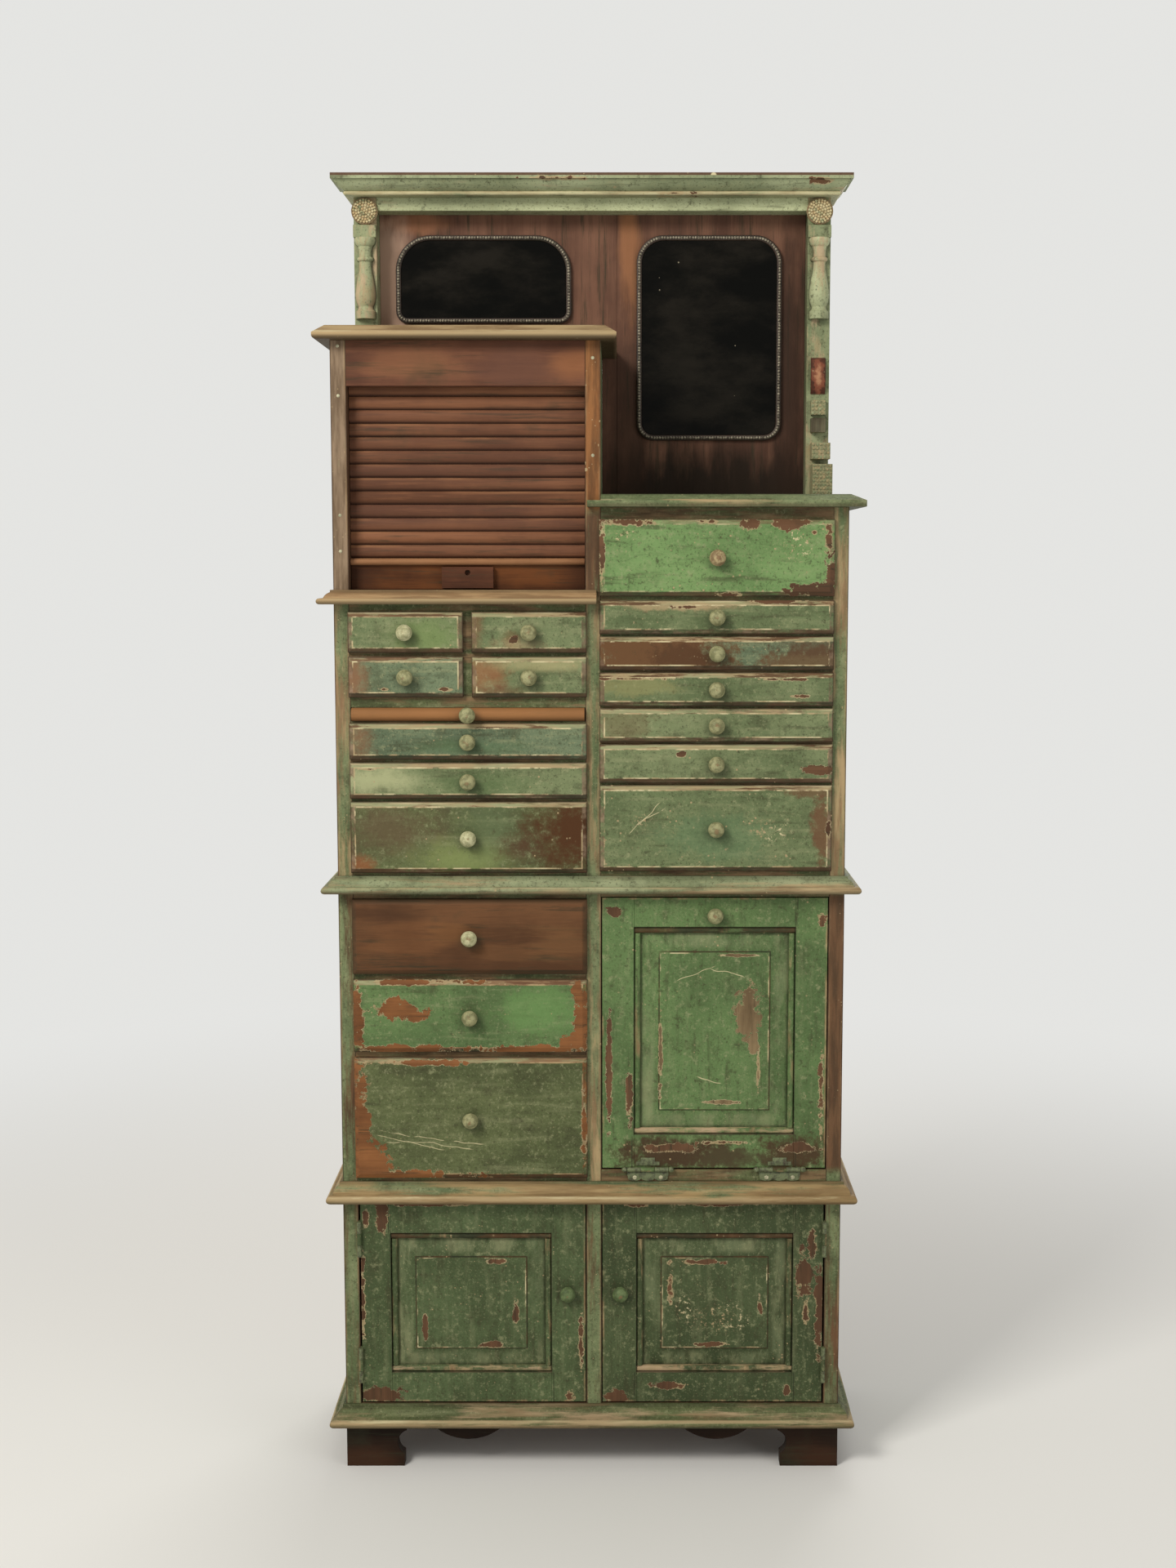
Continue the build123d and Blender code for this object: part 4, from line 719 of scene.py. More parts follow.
for number, (name, look) in enumerate(doorLooks.items()):
    opening = frontRect(name + "_panel")
    outer = frontRect(name + "_frame")
    bead = doorLook["bead"]
    seed = 171.0 + number * 9
    f = Finish(name + "FrameFinish")
    frameLook = placed(outer, {**look, **look["frame"]}, seed=seed, along="z")
    edge = f.rim(outer).ease(-4 * mm, -0.5 * mm)
    inward = f.rim(opening)
    onBead = inward.band(-bead, 0.5 * mm)
    high = f.z.band(opening[3] - bead, opening[3] + 3 * mm)
    low = f.z.band(opening[2] - 1 * mm, opening[2] + bead)
    flat = (0.15, 1, 0.5)
    f.coat(frameLook)
    f.rub(edge, tan, seed + 31, 0.46, 0.6, 0.8, (1, 1, 0.3), 45.0)
    f.rub(onBead, tan, seed + 33, 0.5, 0.66, 0.8, (1, 1, 0.2), 50.0)
    # the top bead darkened: painted shadow and dirt
    f.rub(onBead * high, (red[1], grimeAndShadeTone), seed + 35, 0.3, 0.5, 0.9, flat)
    f.rub(onBead * low, (cream[1], (180, 154, 124)), seed + 37, 0.46, 0.58, 0.85, flat, 60.0)
    # painted shade in the crease round the opening, with dark joints where rails meet stiles
    crease = abs(inward).ease(1.8 * mm, 0.4 * mm, 0.65)
    fromMiddle = abs(f.x - (opening[0] + opening[1]) / 2)
    halfOpening = (opening[1] - opening[0]) / 2
    joint = abs(fromMiddle - (halfOpening + 3 * mm)).ease(1.0 * mm, 0.4 * mm)  # where rails meet stiles
    joint = joint * f.rim((-9, 9, opening[2], opening[3])).ease(0.0, 1 * mm)
    joint = joint * f.noise(22.0, seed + 49).ease(0.4, 0.55, 0.75)
    f.tint(crease.most(joint), grimeAndShadeTone)
    f.chip(frameLook, edge * 0.05)
    f.knob(knobSpots[name], caseFront - 0.1 * mm, seed + 39, look["knob"])
    dress(name + "_frame", f.close())

    f = Finish(name + "PanelFinish")
    inset = bead + doorLook["bevel"]
    field = f.rim((opening[0] + inset, opening[1] - inset, opening[2] + inset, opening[3] - inset))
    panelLook = placed(opening, {**look, **look["panel"]}, seed=seed + 4.3, along="z")
    bevelTones = (rubbedTone, tones["pale"][1])
    ridge = abs(field).ease(1.5 * mm, 0.4 * mm)
    crest = abs(field + 1.8 * mm).ease(1.2 * mm, 0.3 * mm)
    f.coat(panelLook)
    # painted shade on the panel's margin beside the bead
    f.tint(f.rim(opening).ease(-bead - 5 * mm, -bead, 0.6), grimeAndShadeTone)
    f.rub(field.ease(2 * mm, 12 * mm), bevelTones, seed + 41, 0.42, 0.62, 0.45, (1, 1, 0.3), 30.0)
    # painted shade along the field's edge, mixed with brown
    f.rub(ridge, (grimeAndShadeTone, red[1]), seed + 43, 0.3, 0.45, 0.8, (0.5, 1, 0.5))
    f.rub(crest, cream, seed + 45, 0.5, 0.6, 0.9, (0.5, 1, 0.5), 45.0)
    f.chip(panelLook)
    for step, ends in enumerate(look.get("scratches", ())):
        f.scratch([spotIn(opening, *end) for end in ends], seed + 47 + step)
    dress(name + "_panel", f.close())
print("doors painted")


# roll front: dark red-brown slats, each a little different

slatLook = {"pitch": 18.8 * mm, "gap": 0.4 * mm, "groups": 5}
f = Finish("slatFinish")
along = (f.z - (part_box("roll_slats_1")[0].z - slatLook["gap"] / 2)) / slatLook["pitch"]
row = along.calc("FLOOR", along)
rise = along.calc("FRACT", along)
chance = f.add("TexWhiteNoise", {"W": row}, "Value", noise_dimensions="1D")
edgeTones = ((152, 108, 74), (130, 90, 64))
f.layers = f.grain(tones["slat"], "x", 201.0)
f.tint(chance * 0.5, (92, 62, 50))
f.rub(rise.ease(0.72, 0.9), edgeTones, 205.0, 0.44, 0.62, 0.7, (0.1, 1, 1), 30.0)
# painted shade at the foot and the top edge of each slat, where the gaps are
f.tint(rise.ease(0.26, 0.02, 0.85), (38, 22, 16))
f.tint(rise.ease(0.93, 1.0, 0.7), (44, 26, 18))
slatWood = f.close()
for number in range(slatLook["groups"]):
    dress(f"roll_slats_{number + 1}", slatWood)

rollRailLook = {"lip": 9.4 * mm, "darkEnds": 60 * mm}
railRect = frontRect("roll_rail")
f = Finish("rollRailFinish")
f.layers = f.grain(((102, 60, 30), (62, 35, 18)), "x", 211.0)
fromEnd = f.rim((railRect[0], railRect[1], -9, 9))
# painted shade towards the rail's ends
f.tint(fromEnd.ease(-rollRailLook["darkEnds"], 0.0, 0.65), (52, 30, 18))
onLip = f.z.ease(railRect[3] - rollRailLook["lip"] - 0.6 * mm, railRect[3] - rollRailLook["lip"])
f.tint(onLip, f.grain(((150, 108, 74), (112, 76, 50)), "x", 213.0)[0])
dress("roll_rail", f.close())
dress("roll_lock", woodFinish("lockWood", ((96, 58, 38), (66, 40, 27)), "x", 215.0, 30.0))
headRailStains = [
    ((-0.26, 1.605), (0.07, 0.02), (140, 94, 64), 0.4),
    ((-0.10, 1.600), (0.06, 0.03), (92, 62, 50), 0.6),
    ((-0.02, 1.605), (0.04, 0.02), (150, 98, 62), 0.5),
]
headRailTones = ((114, 75, 54), (82, 52, 39))
dress("roll_head_rail", woodFinish("headRailWood", headRailTones, "x", 217.0, 18.0, headRailStains))
print("roll front finished")


# gallery: dark boards, pale green posts and cornice, mirrors with a painted dark reflection

# pale stains, and three dark patches that are painted shade in the alcove's corners, by the counter, the post
# and the roll case
galleryStainsAndShade = [
    ((0.055, 1.79), (0.018, 0.10), (150, 102, 68), 0.7),
    ((-0.27, 1.835), (0.06, 0.016), (150, 102, 72), 0.6),
    ((-0.305, 1.75), (0.035, 0.11), (170, 140, 120), 0.95),
    ((0.17, 1.43), (0.22, 0.07), (34, 26, 18), 0.95),
    ((0.30, 1.60), (0.03, 0.2), (48, 34, 26), 0.8),
    ((0.05, 1.50), (0.03, 0.15), (58, 42, 32), 0.6),
]
dress("gallery_panel", woodFinish("galleryWood", tones["gallery"], "z", 221.0, 22.0, galleryStainsAndShade))

carving = {  # levels of the right post's carvings, from the counter up, and where they lie across it
    "inner": 27.8 * mm,
    "middle": 16.9 * mm,
    "tile": (98 * mm, 119 * mm),
    "leaf": (124 * mm, 146 * mm),
    "tablet": (154 * mm, 210 * mm),
    "seeds": (0.0, 82 * mm),
}


def carvedZone(f, name):  # 1 on a carving of the right post
    low, high = (counterTop + v for v in carving[name])
    return f.z.band(low, high) * f.y.ease(postFace, postFace - 0.5 * mm) * f.x.ease(0.0, 0.1)


def paintCarvings(f):
    tablet = (postOuter - carving["middle"], counterTop + sum(carving["tablet"]) / 2)
    # painted highlight in the middle of the tablet and painted shade round its edge, for its rounded relief
    away = f.oval(tablet, (10 * mm, 27 * mm)) + f.noise(130.0, 269.0) * 1.6
    wood, *rest = f.grain(((138, 82, 60), (92, 54, 42)), "z", 263.0, 40.0)
    wood = f.wash(wood, (away, 1.5, 0.9, 0.8, (178, 132, 98)), (away, 1.6, 1.9, 0.8, (58, 36, 28)))
    f.lay(carvedZone(f, "tablet") * f.y.ease(postFace - 0.3 * mm, postFace - 1.5 * mm), (wood, *rest))
    f.tint(carvedZone(f, "tile") * 0.75, (58, 50, 40))
    for zone, dark, seed in (("seeds", (112, 112, 84), 265.0), ("leaf", (104, 112, 80), 267.0)):
        f.rub(carvedZone(f, zone), (cream[1], dark), seed, 0.35, 0.6, 0.8, (1, 1, 1), 160.0)
    # painted shade on the post's sides, behind its face
    f.tint(f.y.ease(postFace + 1 * mm, postFace + 14 * mm, 0.5), grimeAndShadeTone)


corniceLook = {"bareTop": 4.2 * mm, "fade": 0.8 * mm, "lowEdge": 6 * mm}


def paintCornice(f, low, high, run):  # a bare brown top edge with pale specks, the lowest edge rubbed
    topEdge = high.z - corniceLook["bareTop"]
    onTop = f.z.ease(topEdge, topEdge + corniceLook["fade"])
    f.tint(onTop * 0.9, (84, 54, 42))
    f.tint(onTop * f.specks(55.0, 0.3, 0.25, 3.0), cream[0])
    f.rub(f.z.band(low.z, low.z + corniceLook["lowEdge"]), cream, 261.0, 0.35, 0.5, 0.7, run)


galleryLooks = {
    "left_post": {"paint": "pale", "rubbed": 0.5, "specks": 0.06},
    "right_post": {"paint": "pale", "rubbed": 0.5, "specks": 0.06},
    "post_vases": {"paint": "palest", "rubbed": 0.46, "specks": 0.03},
    # the frieze's palest paint is painted light, lifting it out of the cornice's shadow
    "frieze": {"paint": "palest", "rubbed": 0.6, "specks": 0.05, "along": "x", "dirt": 0.3},
    "cornice": {"paint": "celadon", "rubbed": 0.54, "specks": 0.05, "along": "x", "dirt": 0.7, "chips": [
        ((0.335, 1.885), (18 * mm, 5 * mm)), ((0.12, 1.869), (30 * mm, 3 * mm)),
        ((-0.05, 1.888), (46 * mm, 3 * mm))]},
}
for number, (name, look) in enumerate(galleryLooks.items()):
    f = Finish(name + "Finish")
    look = dict({"along": "z"}, **look, seed=231.0 + number * 4, wear=-0.03)
    run = (0.12, 0.12, 1) if look["along"] == "x" else (1, 1, 0.25)
    worn = look["rubbed"]
    f.coat(look)
    f.rub(1.0, (cream[1], (182, 156, 126)), look["seed"] + 31, worn, worn + 0.14, 0.8, run, 50.0)
    if name == "post_vases":  # painted shade where the turning meets the post, and in its necks
        f.tint(f.y.ease(postFace - 8 * mm, postFace - 1 * mm, 0.85), (58, 54, 38))
    if name == "cornice":
        paintCornice(f, *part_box(name), run)
    if name == "right_post":
        paintCarvings(f)
    f.chip(look)
    dress(name, f.close())


def mirrorFinish(name, seed):
    # silvering painted near black, a painted dark reflection on aged glass, with foxed specks
    f = Finish(name)
    cloud = f.noise(14.0, seed, 6.0, 0.65, (0.5, 1, 1))
    colour = f.blend(cloud.ease(0.42, 0.72), (8, 8, 6), (29, 26, 21))
    colour = f.blend(f.specks(70.0, 0.10, 0.10, seed), colour, (128, 120, 102))
    f.layers = (colour, f.mix(cloud.ease(0.45, 0.7), 0.14, 0.35), cloud)
    return f.close(depth=0.05 * mm, strength=0.2, shine=0.06)


dress("small_mirror", mirrorFinish("smallMirrorGlass", 271.0))
dress("tall_mirror", mirrorFinish("tallMirrorGlass", 277.0))


def ironFinish(name, seed, light, dark, worn):
    # old painted metal, rubbed on what stands out
    f = Finish(name)
    rubbed = f.noise(160.0, seed)
    fine = f.noise(700.0, seed + 1, 2.0)
    mixed = rubbed * 0.6 + fine * 0.4
    colour = f.wash(light, (rubbed, 0.4, 0.6, 1.0, dark), (mixed, 0.54, 0.62, 0.8, worn))
    f.layers = (colour, f.mix(fine.ease(0.3, 0.7), 0.4, 0.65), rubbed + fine * 0.4)
    return f.close(shine=0.45)


hingePaint = ironFinish("hingePaint", 281.0, (104, 112, 78), (78, 84, 58), (64, 52, 40))
screwPaint = ironFinish("screwPaint", 285.0, (186, 182, 150), (146, 144, 116), (98, 92, 72))
for name in ("door_hinges", "fall_hinges"):
    dress(name, hingePaint)
print("gallery finished")


# pieces modelled one by one: rosettes, beaded mirror frames, hinge leaves, screws, nails and post carvings


def onlySelect(*pieces):
    bpy.ops.object.select_all(action="DESELECT")
    for piece in pieces:
        piece.select_set(True)
    bpy.context.view_layer.objects.active = pieces[0]


def settle(piece):  # puts a piece's place and size into its mesh
    onlySelect(piece)
    bpy.ops.object.transform_apply(location=True, rotation=True, scale=True)
    return piece


def start(add, stretch=(1, 1, 1), **size):  # a primitive to shape, stretched once it is turned
    bpy.ops.object.select_all(action="DESELECT")
    add(**size)
    piece = settle(bpy.context.object)
    piece.scale = stretch
    return settle(piece)


def pick(piece, kind, test):  # enters edit mode with the faces or points chosen that pass a test
    onlySelect(piece)
    bpy.ops.object.mode_set(mode="EDIT")
    bpy.ops.mesh.select_mode(type=kind)
    bpy.ops.mesh.select_all(action="DESELECT")
    bpy.ops.object.mode_set(mode="OBJECT")
    for part in piece.data.polygons if kind == "FACE" else piece.data.vertices:
        part.select = test(part)
    bpy.ops.object.mode_set(mode="EDIT")


def done():
    bpy.ops.object.mode_set(mode="OBJECT")


def applyModifier(piece, kind, **settings):
    setAll(piece.modifiers.new(kind, kind), **settings)
    onlySelect(piece)
    bpy.ops.object.modifier_apply(modifier=kind)


def thicken(piece, thickness, arris, segments=2):  # a plate from a sheet, its edges eased
    applyModifier(piece, "SOLIDIFY", thickness=thickness, offset=1.0)
    applyModifier(piece, "BEVEL", width=arris, segments=segments, angle_limit=math.radians(40))


def joined(pieces, name):
    onlySelect(*pieces)
    if len(pieces) > 1:
        bpy.ops.object.join()
    piece = bpy.context.object
    piece.name = piece.data.name = name
    return settle(piece)


def copied(piece, spots):  # a copy with its own mesh at each spot; the pattern goes
    twins = []
    for spot in spots:
        twin = piece.copy()
        twin.data = piece.data.copy()
        twin.location = spot
        scene.collection.objects.link(twin)
        twins.append(twin)
    bpy.data.objects.remove(piece)
    return twins


def finishPiece(piece, finish, body, slot, *stoodFor):
    onlySelect(piece)
    bpy.ops.object.shade_smooth_by_angle(angle=math.radians(35))
    piece.data.materials.clear()
    piece.data.materials.append(finish)
    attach(piece, body)
    if stoodFor:
        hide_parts(*stoodFor)


addPlane = bpy.ops.mesh.primitive_plane_add
addGrid = bpy.ops.mesh.primitive_grid_add
addCylinder = bpy.ops.mesh.primitive_cylinder_add
addBall = bpy.ops.mesh.primitive_uv_sphere_add
addCube = bpy.ops.mesh.primitive_cube_add
faceOut = (math.pi / 2, 0, 0)  # turns a flat primitive to face the front


# rosettes with a studded face

rosetteLook = {
    "radius": 19.6 * mm,
    "depth": 6.5 * mm,
    "rim": 2.4 * mm,
    "crown": 0.8 * mm,
    "stud": 2.2 * mm,
    "studRise": 0.4 * mm,
    "inset": 20 * mm,
    "rings": ((0.0, 1), (4.2, 6), (8.3, 12), (12.4, 18), (15.9, 23)),  # radius in millimetres, studs
    "dirtFrom": (4.6 * mm, 5.6 * mm),  # ahead of its back
    "dirtTo": (7.4 * mm, 6.2 * mm),
}
rosetteLow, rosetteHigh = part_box("rosettes")
radius, depth, crown = (rosetteLook[name] for name in ("radius", "depth", "crown"))
rosette = start(addCylinder, vertices=56, radius=radius, depth=depth, rotation=faceOut)
pick(rosette, "FACE", lambda face: face.normal.y < -0.9)
for inset, push in ((rosetteLook["rim"], crown), (radius * 0.35, -crown)):
    bpy.ops.mesh.inset(thickness=inset)
    bpy.ops.transform.translate(value=(0, push, 0))
done()
applyModifier(rosette, "BEVEL", width=1.2 * mm, segments=3)
stud = start(addBall, (1.0, 0.9, 1.0), segments=10, ring_count=6, radius=rosetteLook["stud"])
studFace = rosetteLook["studRise"] - depth / 2
studSpots = []
for ringRadius, count in rosetteLook["rings"]:
    for step in range(count):
        turn = math.tau * (step + ringRadius * 0.07) / count
        studSpots.append((ringRadius * mm * math.cos(turn), studFace, ringRadius * mm * math.sin(turn)))
rosette = joined([rosette, *copied(stud, studSpots)], "rosette")
rosetteSide = rosetteHigh.x - rosetteLook["inset"]
rosetteLevel = (rosetteLow.z + rosetteHigh.z) / 2
rosetteSpots = [(side, rosetteHigh.y - depth / 2, rosetteLevel) for side in (-rosetteSide, rosetteSide)]
rosettes = joined(copied(rosette, rosetteSpots), "rosetteCarvings")
f = Finish("rosetteFinish")
f.coat({"seed": 301.0, "paint": "pale", "dirt": 0.5})
f.rub(1.0, (cream[0], (186, 160, 118)), 303.0, 0.36, 0.54, 0.9, (1, 1, 1), 120.0)
ahead = rosetteHigh.y - f.y
# dirt and painted shade in the hollows round the studs
dirt = ahead.ease(*rosetteLook["dirtTo"]) * ahead.ease(*rosetteLook["dirtFrom"])
f.tint(dirt * 0.75, (92, 66, 44))
finishPiece(rosettes, f.close(), "case", "case_paint", "rosettes")
print("rosettes carved")


# mirror frames: a rounded moulding with a string of beads

surroundLook = {
    "width": 8 * mm,
    "depth": 6 * mm,
    "arris": 2.4 * mm,
    "overlap": 0.2 * mm,
    "bead": 2.0 * mm,
    "beadRise": 0.4 * mm,
    "pitch": 4.2 * mm,
}
mirrorLooks = {
    "small_mirror": {"highRound": 45 * mm, "lowRound": 10 * mm},
    "tall_mirror": {"highRound": 33 * mm, "lowRound": 18 * mm},
}


def roundedPath(low, high, grow, highRound, lowRound, pitch):
    # places along a rectangle with rounded corners, evenly spaced
    x0, x1, z0, z1 = low.x - grow, high.x + grow, low.z - grow, high.z + grow
    up, down = highRound + grow, lowRound + grow
    middles = ((x1 - up, z1 - up, up), (x0 + up, z1 - up, up), (x0 + down, z0 + down, down),
               (x1 - down, z0 + down, down))
    line = []
    for quarter, (x, z, radius) in enumerate(middles):
        for step in range(25):
            turn = (quarter + step / 24) * math.pi / 2
            line.append(Vector((x + radius * math.cos(turn), 0, z + radius * math.sin(turn))))
    line.append(line[0])
    lengths = [(b - a).length for a, b in zip(line, line[1:])]
    count = round(sum(lengths) / pitch)
    spots, walked, leg = [], 0.0, 0
    for step in range(count):
        target = sum(lengths) * step / count
        while walked + lengths[leg] < target:
            walked += lengths[leg]
            leg += 1
        spots.append(line[leg].lerp(line[leg + 1], (target - walked) / max(lengths[leg], 1e-9)))
    return spots


mirrorFrames = []
for name, look in mirrorLooks.items():
    low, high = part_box(name)
    middle = (low + high) / 2
    tall = high.z - low.z
    width = surroundLook["width"]
    outside = (high.x - low.x + width * 2, 1, tall + width * 2)
    surround = start(addPlane, outside, size=1, rotation=faceOut)
    for side, radius in ((1, look["highRound"]), (-1, look["lowRound"])):
        pick(surround, "VERT", lambda point: point.co.z * side > tall * 0.49)
        bpy.ops.mesh.bevel(offset=radius + width, segments=12, affect="VERTICES")
        done()
    pick(surround, "FACE", lambda face: True)
    bpy.ops.mesh.inset(thickness=width)
    bpy.ops.mesh.delete(type="FACE")
    done()
    thicken(surround, surroundLook["depth"], surroundLook["arris"], 3)
    surround.location = (middle.x, high.y - surroundLook["overlap"], middle.z)
    bead = start(addBall, segments=8, ring_count=5, radius=surroundLook["bead"])
    beadFace = high.y - surroundLook["depth"] - surroundLook["beadRise"]
    path = roundedPath(low, high, width / 2, look["highRound"], look["lowRound"], surroundLook["pitch"])
    mirrorFrames += [settle(surround), *copied(bead, [(spot.x, beadFace, spot.z) for spot in path])]
mirrorBeads = joined(mirrorFrames, "mirrorBeadFrames")
f = Finish("beadFinish")
f.layers = f.grain(((62, 48, 38), (36, 28, 22)), "x", 331.0)
# the bead fronts paler: rubbed, with painted glints
beadTone = f.blend(f.noise(210.0, 333.0, 3.0).ease(0.40, 0.62), (150, 142, 122), (78, 70, 58))
f.tint(f.y.ease(beadFace + 0.2 * mm, beadFace - 0.6 * mm), beadTone)
finishPiece(mirrorBeads, f.close(shine=0.4), "case", "bead_metal", "mirror_frames")
print("mirror frames beaded")


# fall front hinges: scalloped lower leaves, stepped upper leaves and their screws

hingeLook = {"toMiddle": 37.95 * mm, "plate": 0.8 * mm, "arris": 0.3 * mm}
lowerLeaf = {"width": 58 * mm, "low": 438.9 * mm, "high": 447.5 * mm, "ahead": 1.7 * mm, "columns": 36,
             "lobes": 3, "lobe": 3.6 * mm}
upperLeaf = {"width": 34 * mm, "low": 457.6 * mm, "high": 469.5 * mm, "ahead": 0.2 * mm, "columns": 5}
screwLook = {  # places: reach from the hinge's middle, ahead of the case, level
    "radius": 3.1 * mm,
    "depth": 1.2 * mm,
    "groove": (9.3 * mm, 0.8 * mm, 0.7 * mm),
    "lower": (19 * mm, 2.6 * mm, 440.5 * mm),
    "upper": (10 * mm, 1.1 * mm, 460.8 * mm),
}
hingeLow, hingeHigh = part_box("fall_hinges")
hingeMiddles = (hingeLow.x + hingeLook["toMiddle"], hingeHigh.x - hingeLook["toMiddle"])


def startLeaf(look):
    size = (look["width"], 1, look["high"] - look["low"])
    return start(addGrid, size, x_subdivisions=look["columns"], y_subdivisions=2, size=1, rotation=faceOut)


def setLeaves(leaf, look, name, body):
    thicken(leaf, hingeLook["plate"], hingeLook["arris"])
    level = (look["high"] + look["low"]) / 2
    leaves = joined(copied(leaf, [(x, caseFront - look["ahead"], level) for x in hingeMiddles]), name)
    finishPiece(leaves, hingePaint, body, "hinge_metal")


leaf = startLeaf(lowerLeaf)
lowEdge = (lowerLeaf["low"] - lowerLeaf["high"]) * 0.4
for column in range(lowerLeaf["columns"] + 1):  # the lower edge drops into round lobes
    share = column / lowerLeaf["columns"]
    x = lowerLeaf["width"] * (share - 0.5)
    pick(leaf, "VERT", lambda point: point.co.z < lowEdge and abs(point.co.x - x) < 0.1 * mm)
    drop = math.sqrt(abs(math.sin(math.pi * lowerLeaf["lobes"] * share)))
    bpy.ops.transform.translate(value=(0, 0, -lowerLeaf["lobe"] * drop))
    done()
setLeaves(leaf, lowerLeaf, "hingeLowerLeaves", "case")

leaf = startLeaf(upperLeaf)
pick(leaf, "FACE", lambda face: face.center.z > 0 and abs(face.center.x) > upperLeaf["width"] * 0.3)
bpy.ops.mesh.delete(type="FACE")
done()
setLeaves(leaf, upperLeaf, "hingeUpperLeaves", "fall_front")

radius, depth = screwLook["radius"], screwLook["depth"]
screw = start(addCylinder, vertices=20, radius=radius, depth=depth, rotation=faceOut)
pick(screw, "FACE", lambda face: face.normal.y < -0.9)
bpy.ops.mesh.bevel(offset=0.5 * mm, segments=2)
done()
groove = start(addCube, screwLook["groove"], size=1)
groove.location = (0, -depth / 2, 0)
applyModifier(screw, "BOOLEAN", object=settle(groove))
bpy.data.objects.remove(groove)
screwSpots = []
for apart, ahead, level in (screwLook["lower"], screwLook["upper"]):
    screwSpots += [(x + side * apart, caseFront - ahead, level) for x in hingeMiddles for side in (-1, 1)]
screws = copied(screw, screwSpots)
finishPiece(joined(screws[:4], "hingeLowerScrews"), screwPaint, "case", "hinge_metal")
finishPiece(joined(screws[4:], "hingeUpperScrews"), hingePaint, "fall_front", "hinge_metal")
print("hinge leaves and screws set")


# nail heads on the roll front's stiles

nailLook = {"radius": 2.4 * mm, "rise": 0.45}
nailLevels = {"left_side": (1.628, 1.560, 1.395, 1.345), "centre_partition": (1.612, 1.478)}
nail = start(addBall, (1, nailLook["rise"], 1), segments=12, ring_count=6, radius=nailLook["radius"])
nailSpots = []
for name, levels in nailLevels.items():
    low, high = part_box(name)
    nailSpots += [((low.x + high.x) / 2, caseFront, z) for z in levels]
finishPiece(joined(copied(nail, nailSpots), "stileNails"), screwPaint, "case", "hinge_metal")


# right post: seeded blocks and a sunk tile

seedLook = {"pitch": 5.4 * mm, "radius": 2.3 * mm, "sunk": 0.2 * mm}
seedBlocks = (  # from the counter up, height, reach ahead, distance in from the post's outer side
    (0.0, 50 * mm, 45 * mm, -2 * mm),
    (58 * mm, 24 * mm, 30 * mm, 0.0),
    (124 * mm, 22 * mm, 14 * mm, 6 * mm),
)
seedSpots = []
for rise, height, reach, inward in seedBlocks:
    left, right = postOuter - carving["inner"], postOuter - inward
    across = round((right - left) / seedLook["pitch"])
    upward = round(height / seedLook["pitch"])
    for i in range(across):
        for j in range(upward):
            x = left + (right - left) * (i + 0.5) / across
            z = counterTop + rise + height * (j + 0.5) / upward
            seedSpots.append((x, postFace - reach + seedLook["sunk"], z))
seed = start(addBall, (1, 0.8, 1.05), segments=8, ring_count=5, radius=seedLook["radius"])
seeds = joined(copied(seed, seedSpots), "postSeeds")
f = Finish("seedFinish")
f.coat({"seed": 311.0, "paint": "pale", "dirt": 0.8})
f.rub(1.0, (cream[1], (108, 108, 80)), 313.0, 0.4, 0.56, 0.9, (1, 1, 1), 130.0)
finishPiece(seeds, f.close(), "case", "case_paint")

tileLook = {"rim": 2.4 * mm, "sink": 1.6 * mm, "ahead": 20 * mm, "plate": 0.6 * mm, "arris": 0.3 * mm}
tileLow, tileHigh = carving["tile"]
tile = start(addGrid, x_subdivisions=2, y_subdivisions=1, size=tileHigh - tileLow, rotation=faceOut)
pick(tile, "FACE", lambda face: True)
bpy.ops.mesh.inset(thickness=tileLook["rim"], use_individual=True)
bpy.ops.transform.translate(value=(0, tileLook["sink"], 0))
done()
thicken(tile, tileLook["plate"], tileLook["arris"])
tileLevel = counterTop + (tileLow + tileHigh) / 2
tile.location = (postOuter - carving["middle"], postFace - tileLook["ahead"], tileLevel)
tileWood = woodFinish("tileWood", ((112, 108, 84), (58, 46, 36)), "z", 317.0, 60.0)
finishPiece(joined([tile], "postTile"), tileWood, "case", "case_paint")
print("post carved")


# worn arrises on the CAD pieces: merge, drop flat seams, round the edges a little, shade curves smooth


def smoothGroup(degrees):
    group = bpy.data.node_groups.new(f"smoothBelow{degrees}", "GeometryNodeTree")
    for way in ("INPUT", "OUTPUT"):
        group.interface.new_socket("Geometry", in_out=way, socket_type="NodeSocketGeometry")
    angles = {0: wire(group, "GeometryNodeInputMeshEdgeAngle"), 1: math.radians(degrees)}
    below = wire(group, "FunctionNodeCompare", angles, operation="LESS_THAN")
    faces = wire(group, "GeometryNodeSetShadeSmooth", {0: wire(group, "NodeGroupInput")})
    edges = wire(group, "GeometryNodeSetShadeSmooth", {0: faces, "Shade Smooth": below}, domain="EDGE")
    addNode(group, "NodeGroupOutput", {0: edges})
    return group


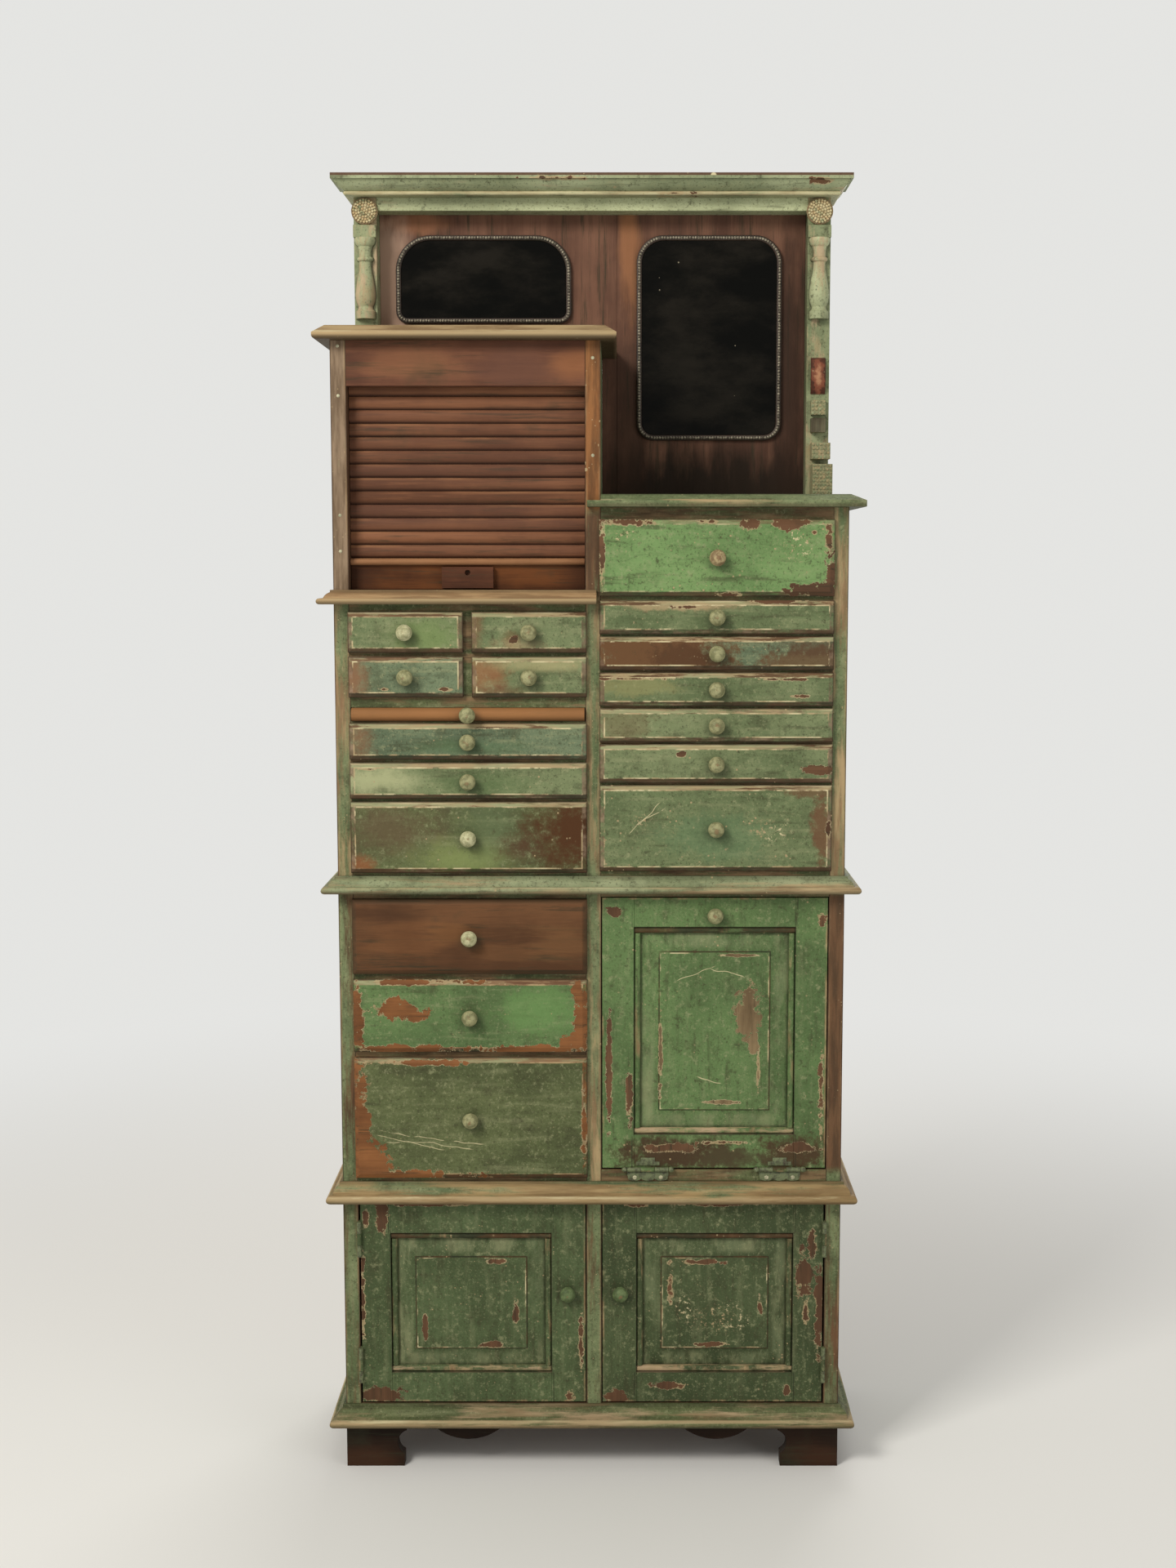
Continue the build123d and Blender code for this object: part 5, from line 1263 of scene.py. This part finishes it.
softLook = {
    "merge": 0.002 * mm,
    "flat": math.radians(0.4),
    "arris": 0.6 * mm,
    "arrisAngle": math.radians(40),
    "plainest": ("hinges", "slats", "vases"),  # left with sharp edges
}
closeSmooth = smoothGroup(11)
wideSmooth = smoothGroup(24)
for name, piece in nodes.items():
    plain = any(word in name for word in softLook["plainest"])
    add = piece.modifiers.new
    setAll(add("weld", "WELD"), merge_threshold=softLook["merge"])
    setAll(add("flat", "DECIMATE"), decimate_type="DISSOLVE", angle_limit=softLook["flat"])
    if not plain:
        arris = setAll(add("arris", "BEVEL"), width=softLook["arris"], segments=2)
        setAll(arris, limit_method="ANGLE", angle_limit=softLook["arrisAngle"])
    setAll(add("smooth", "NODES"), node_group=wideSmooth if plain else closeSmooth)
print("arrises softened")


# plain pale floor that fades into the backdrop

stageLook = {
    "pale": (0.78, 0.78, 0.76, 1.0),
    "warm": (1.0, 0.97, 0.92, 1.0),
    "glow": 0.42,
    "fade": (0.9, 3.0),
    "size": 60.0,
}
floor = start(addPlane, size=stageLook["size"])
floor.name = "floor"
f = Finish("paleFloor")
away = f.add("VectorMath", {0: f.place}, "Value", operation="LENGTH")
matt = f.add("BsdfDiffuse", {"Color": stageLook["pale"]})
glow = f.add("Emission", {"Color": stageLook["pale"]})
faded = f.add("MixShader", {0: away.ease(*stageLook["fade"]), 1: matt, 2: glow})
addNode(f.net, "ShaderNodeOutputMaterial", {"Surface": faded})
floor.data.materials.append(f.mat)

world = bpy.data.worlds.new("studio")
world.use_nodes = True
scene.world = world
net = world.node_tree
net.nodes.clear()
rays = addNode(net, "ShaderNodeLightPath").outputs
direct, glossy, through = (Wire(net, rays[f"Is {way} Ray"]) for way in ("Camera", "Glossy", "Transmission"))
seen = direct.most(glossy).most(through)
soft = wire(net, "ShaderNodeBackground", {"Color": stageLook["warm"], "Strength": stageLook["glow"]})
pale = wire(net, "ShaderNodeBackground", {"Color": stageLook["pale"]})
both = wire(net, "ShaderNodeMixShader", {0: seen, 1: soft, 2: pale})
addNode(net, "ShaderNodeOutputWorld", {"Surface": both})
print("stage set")
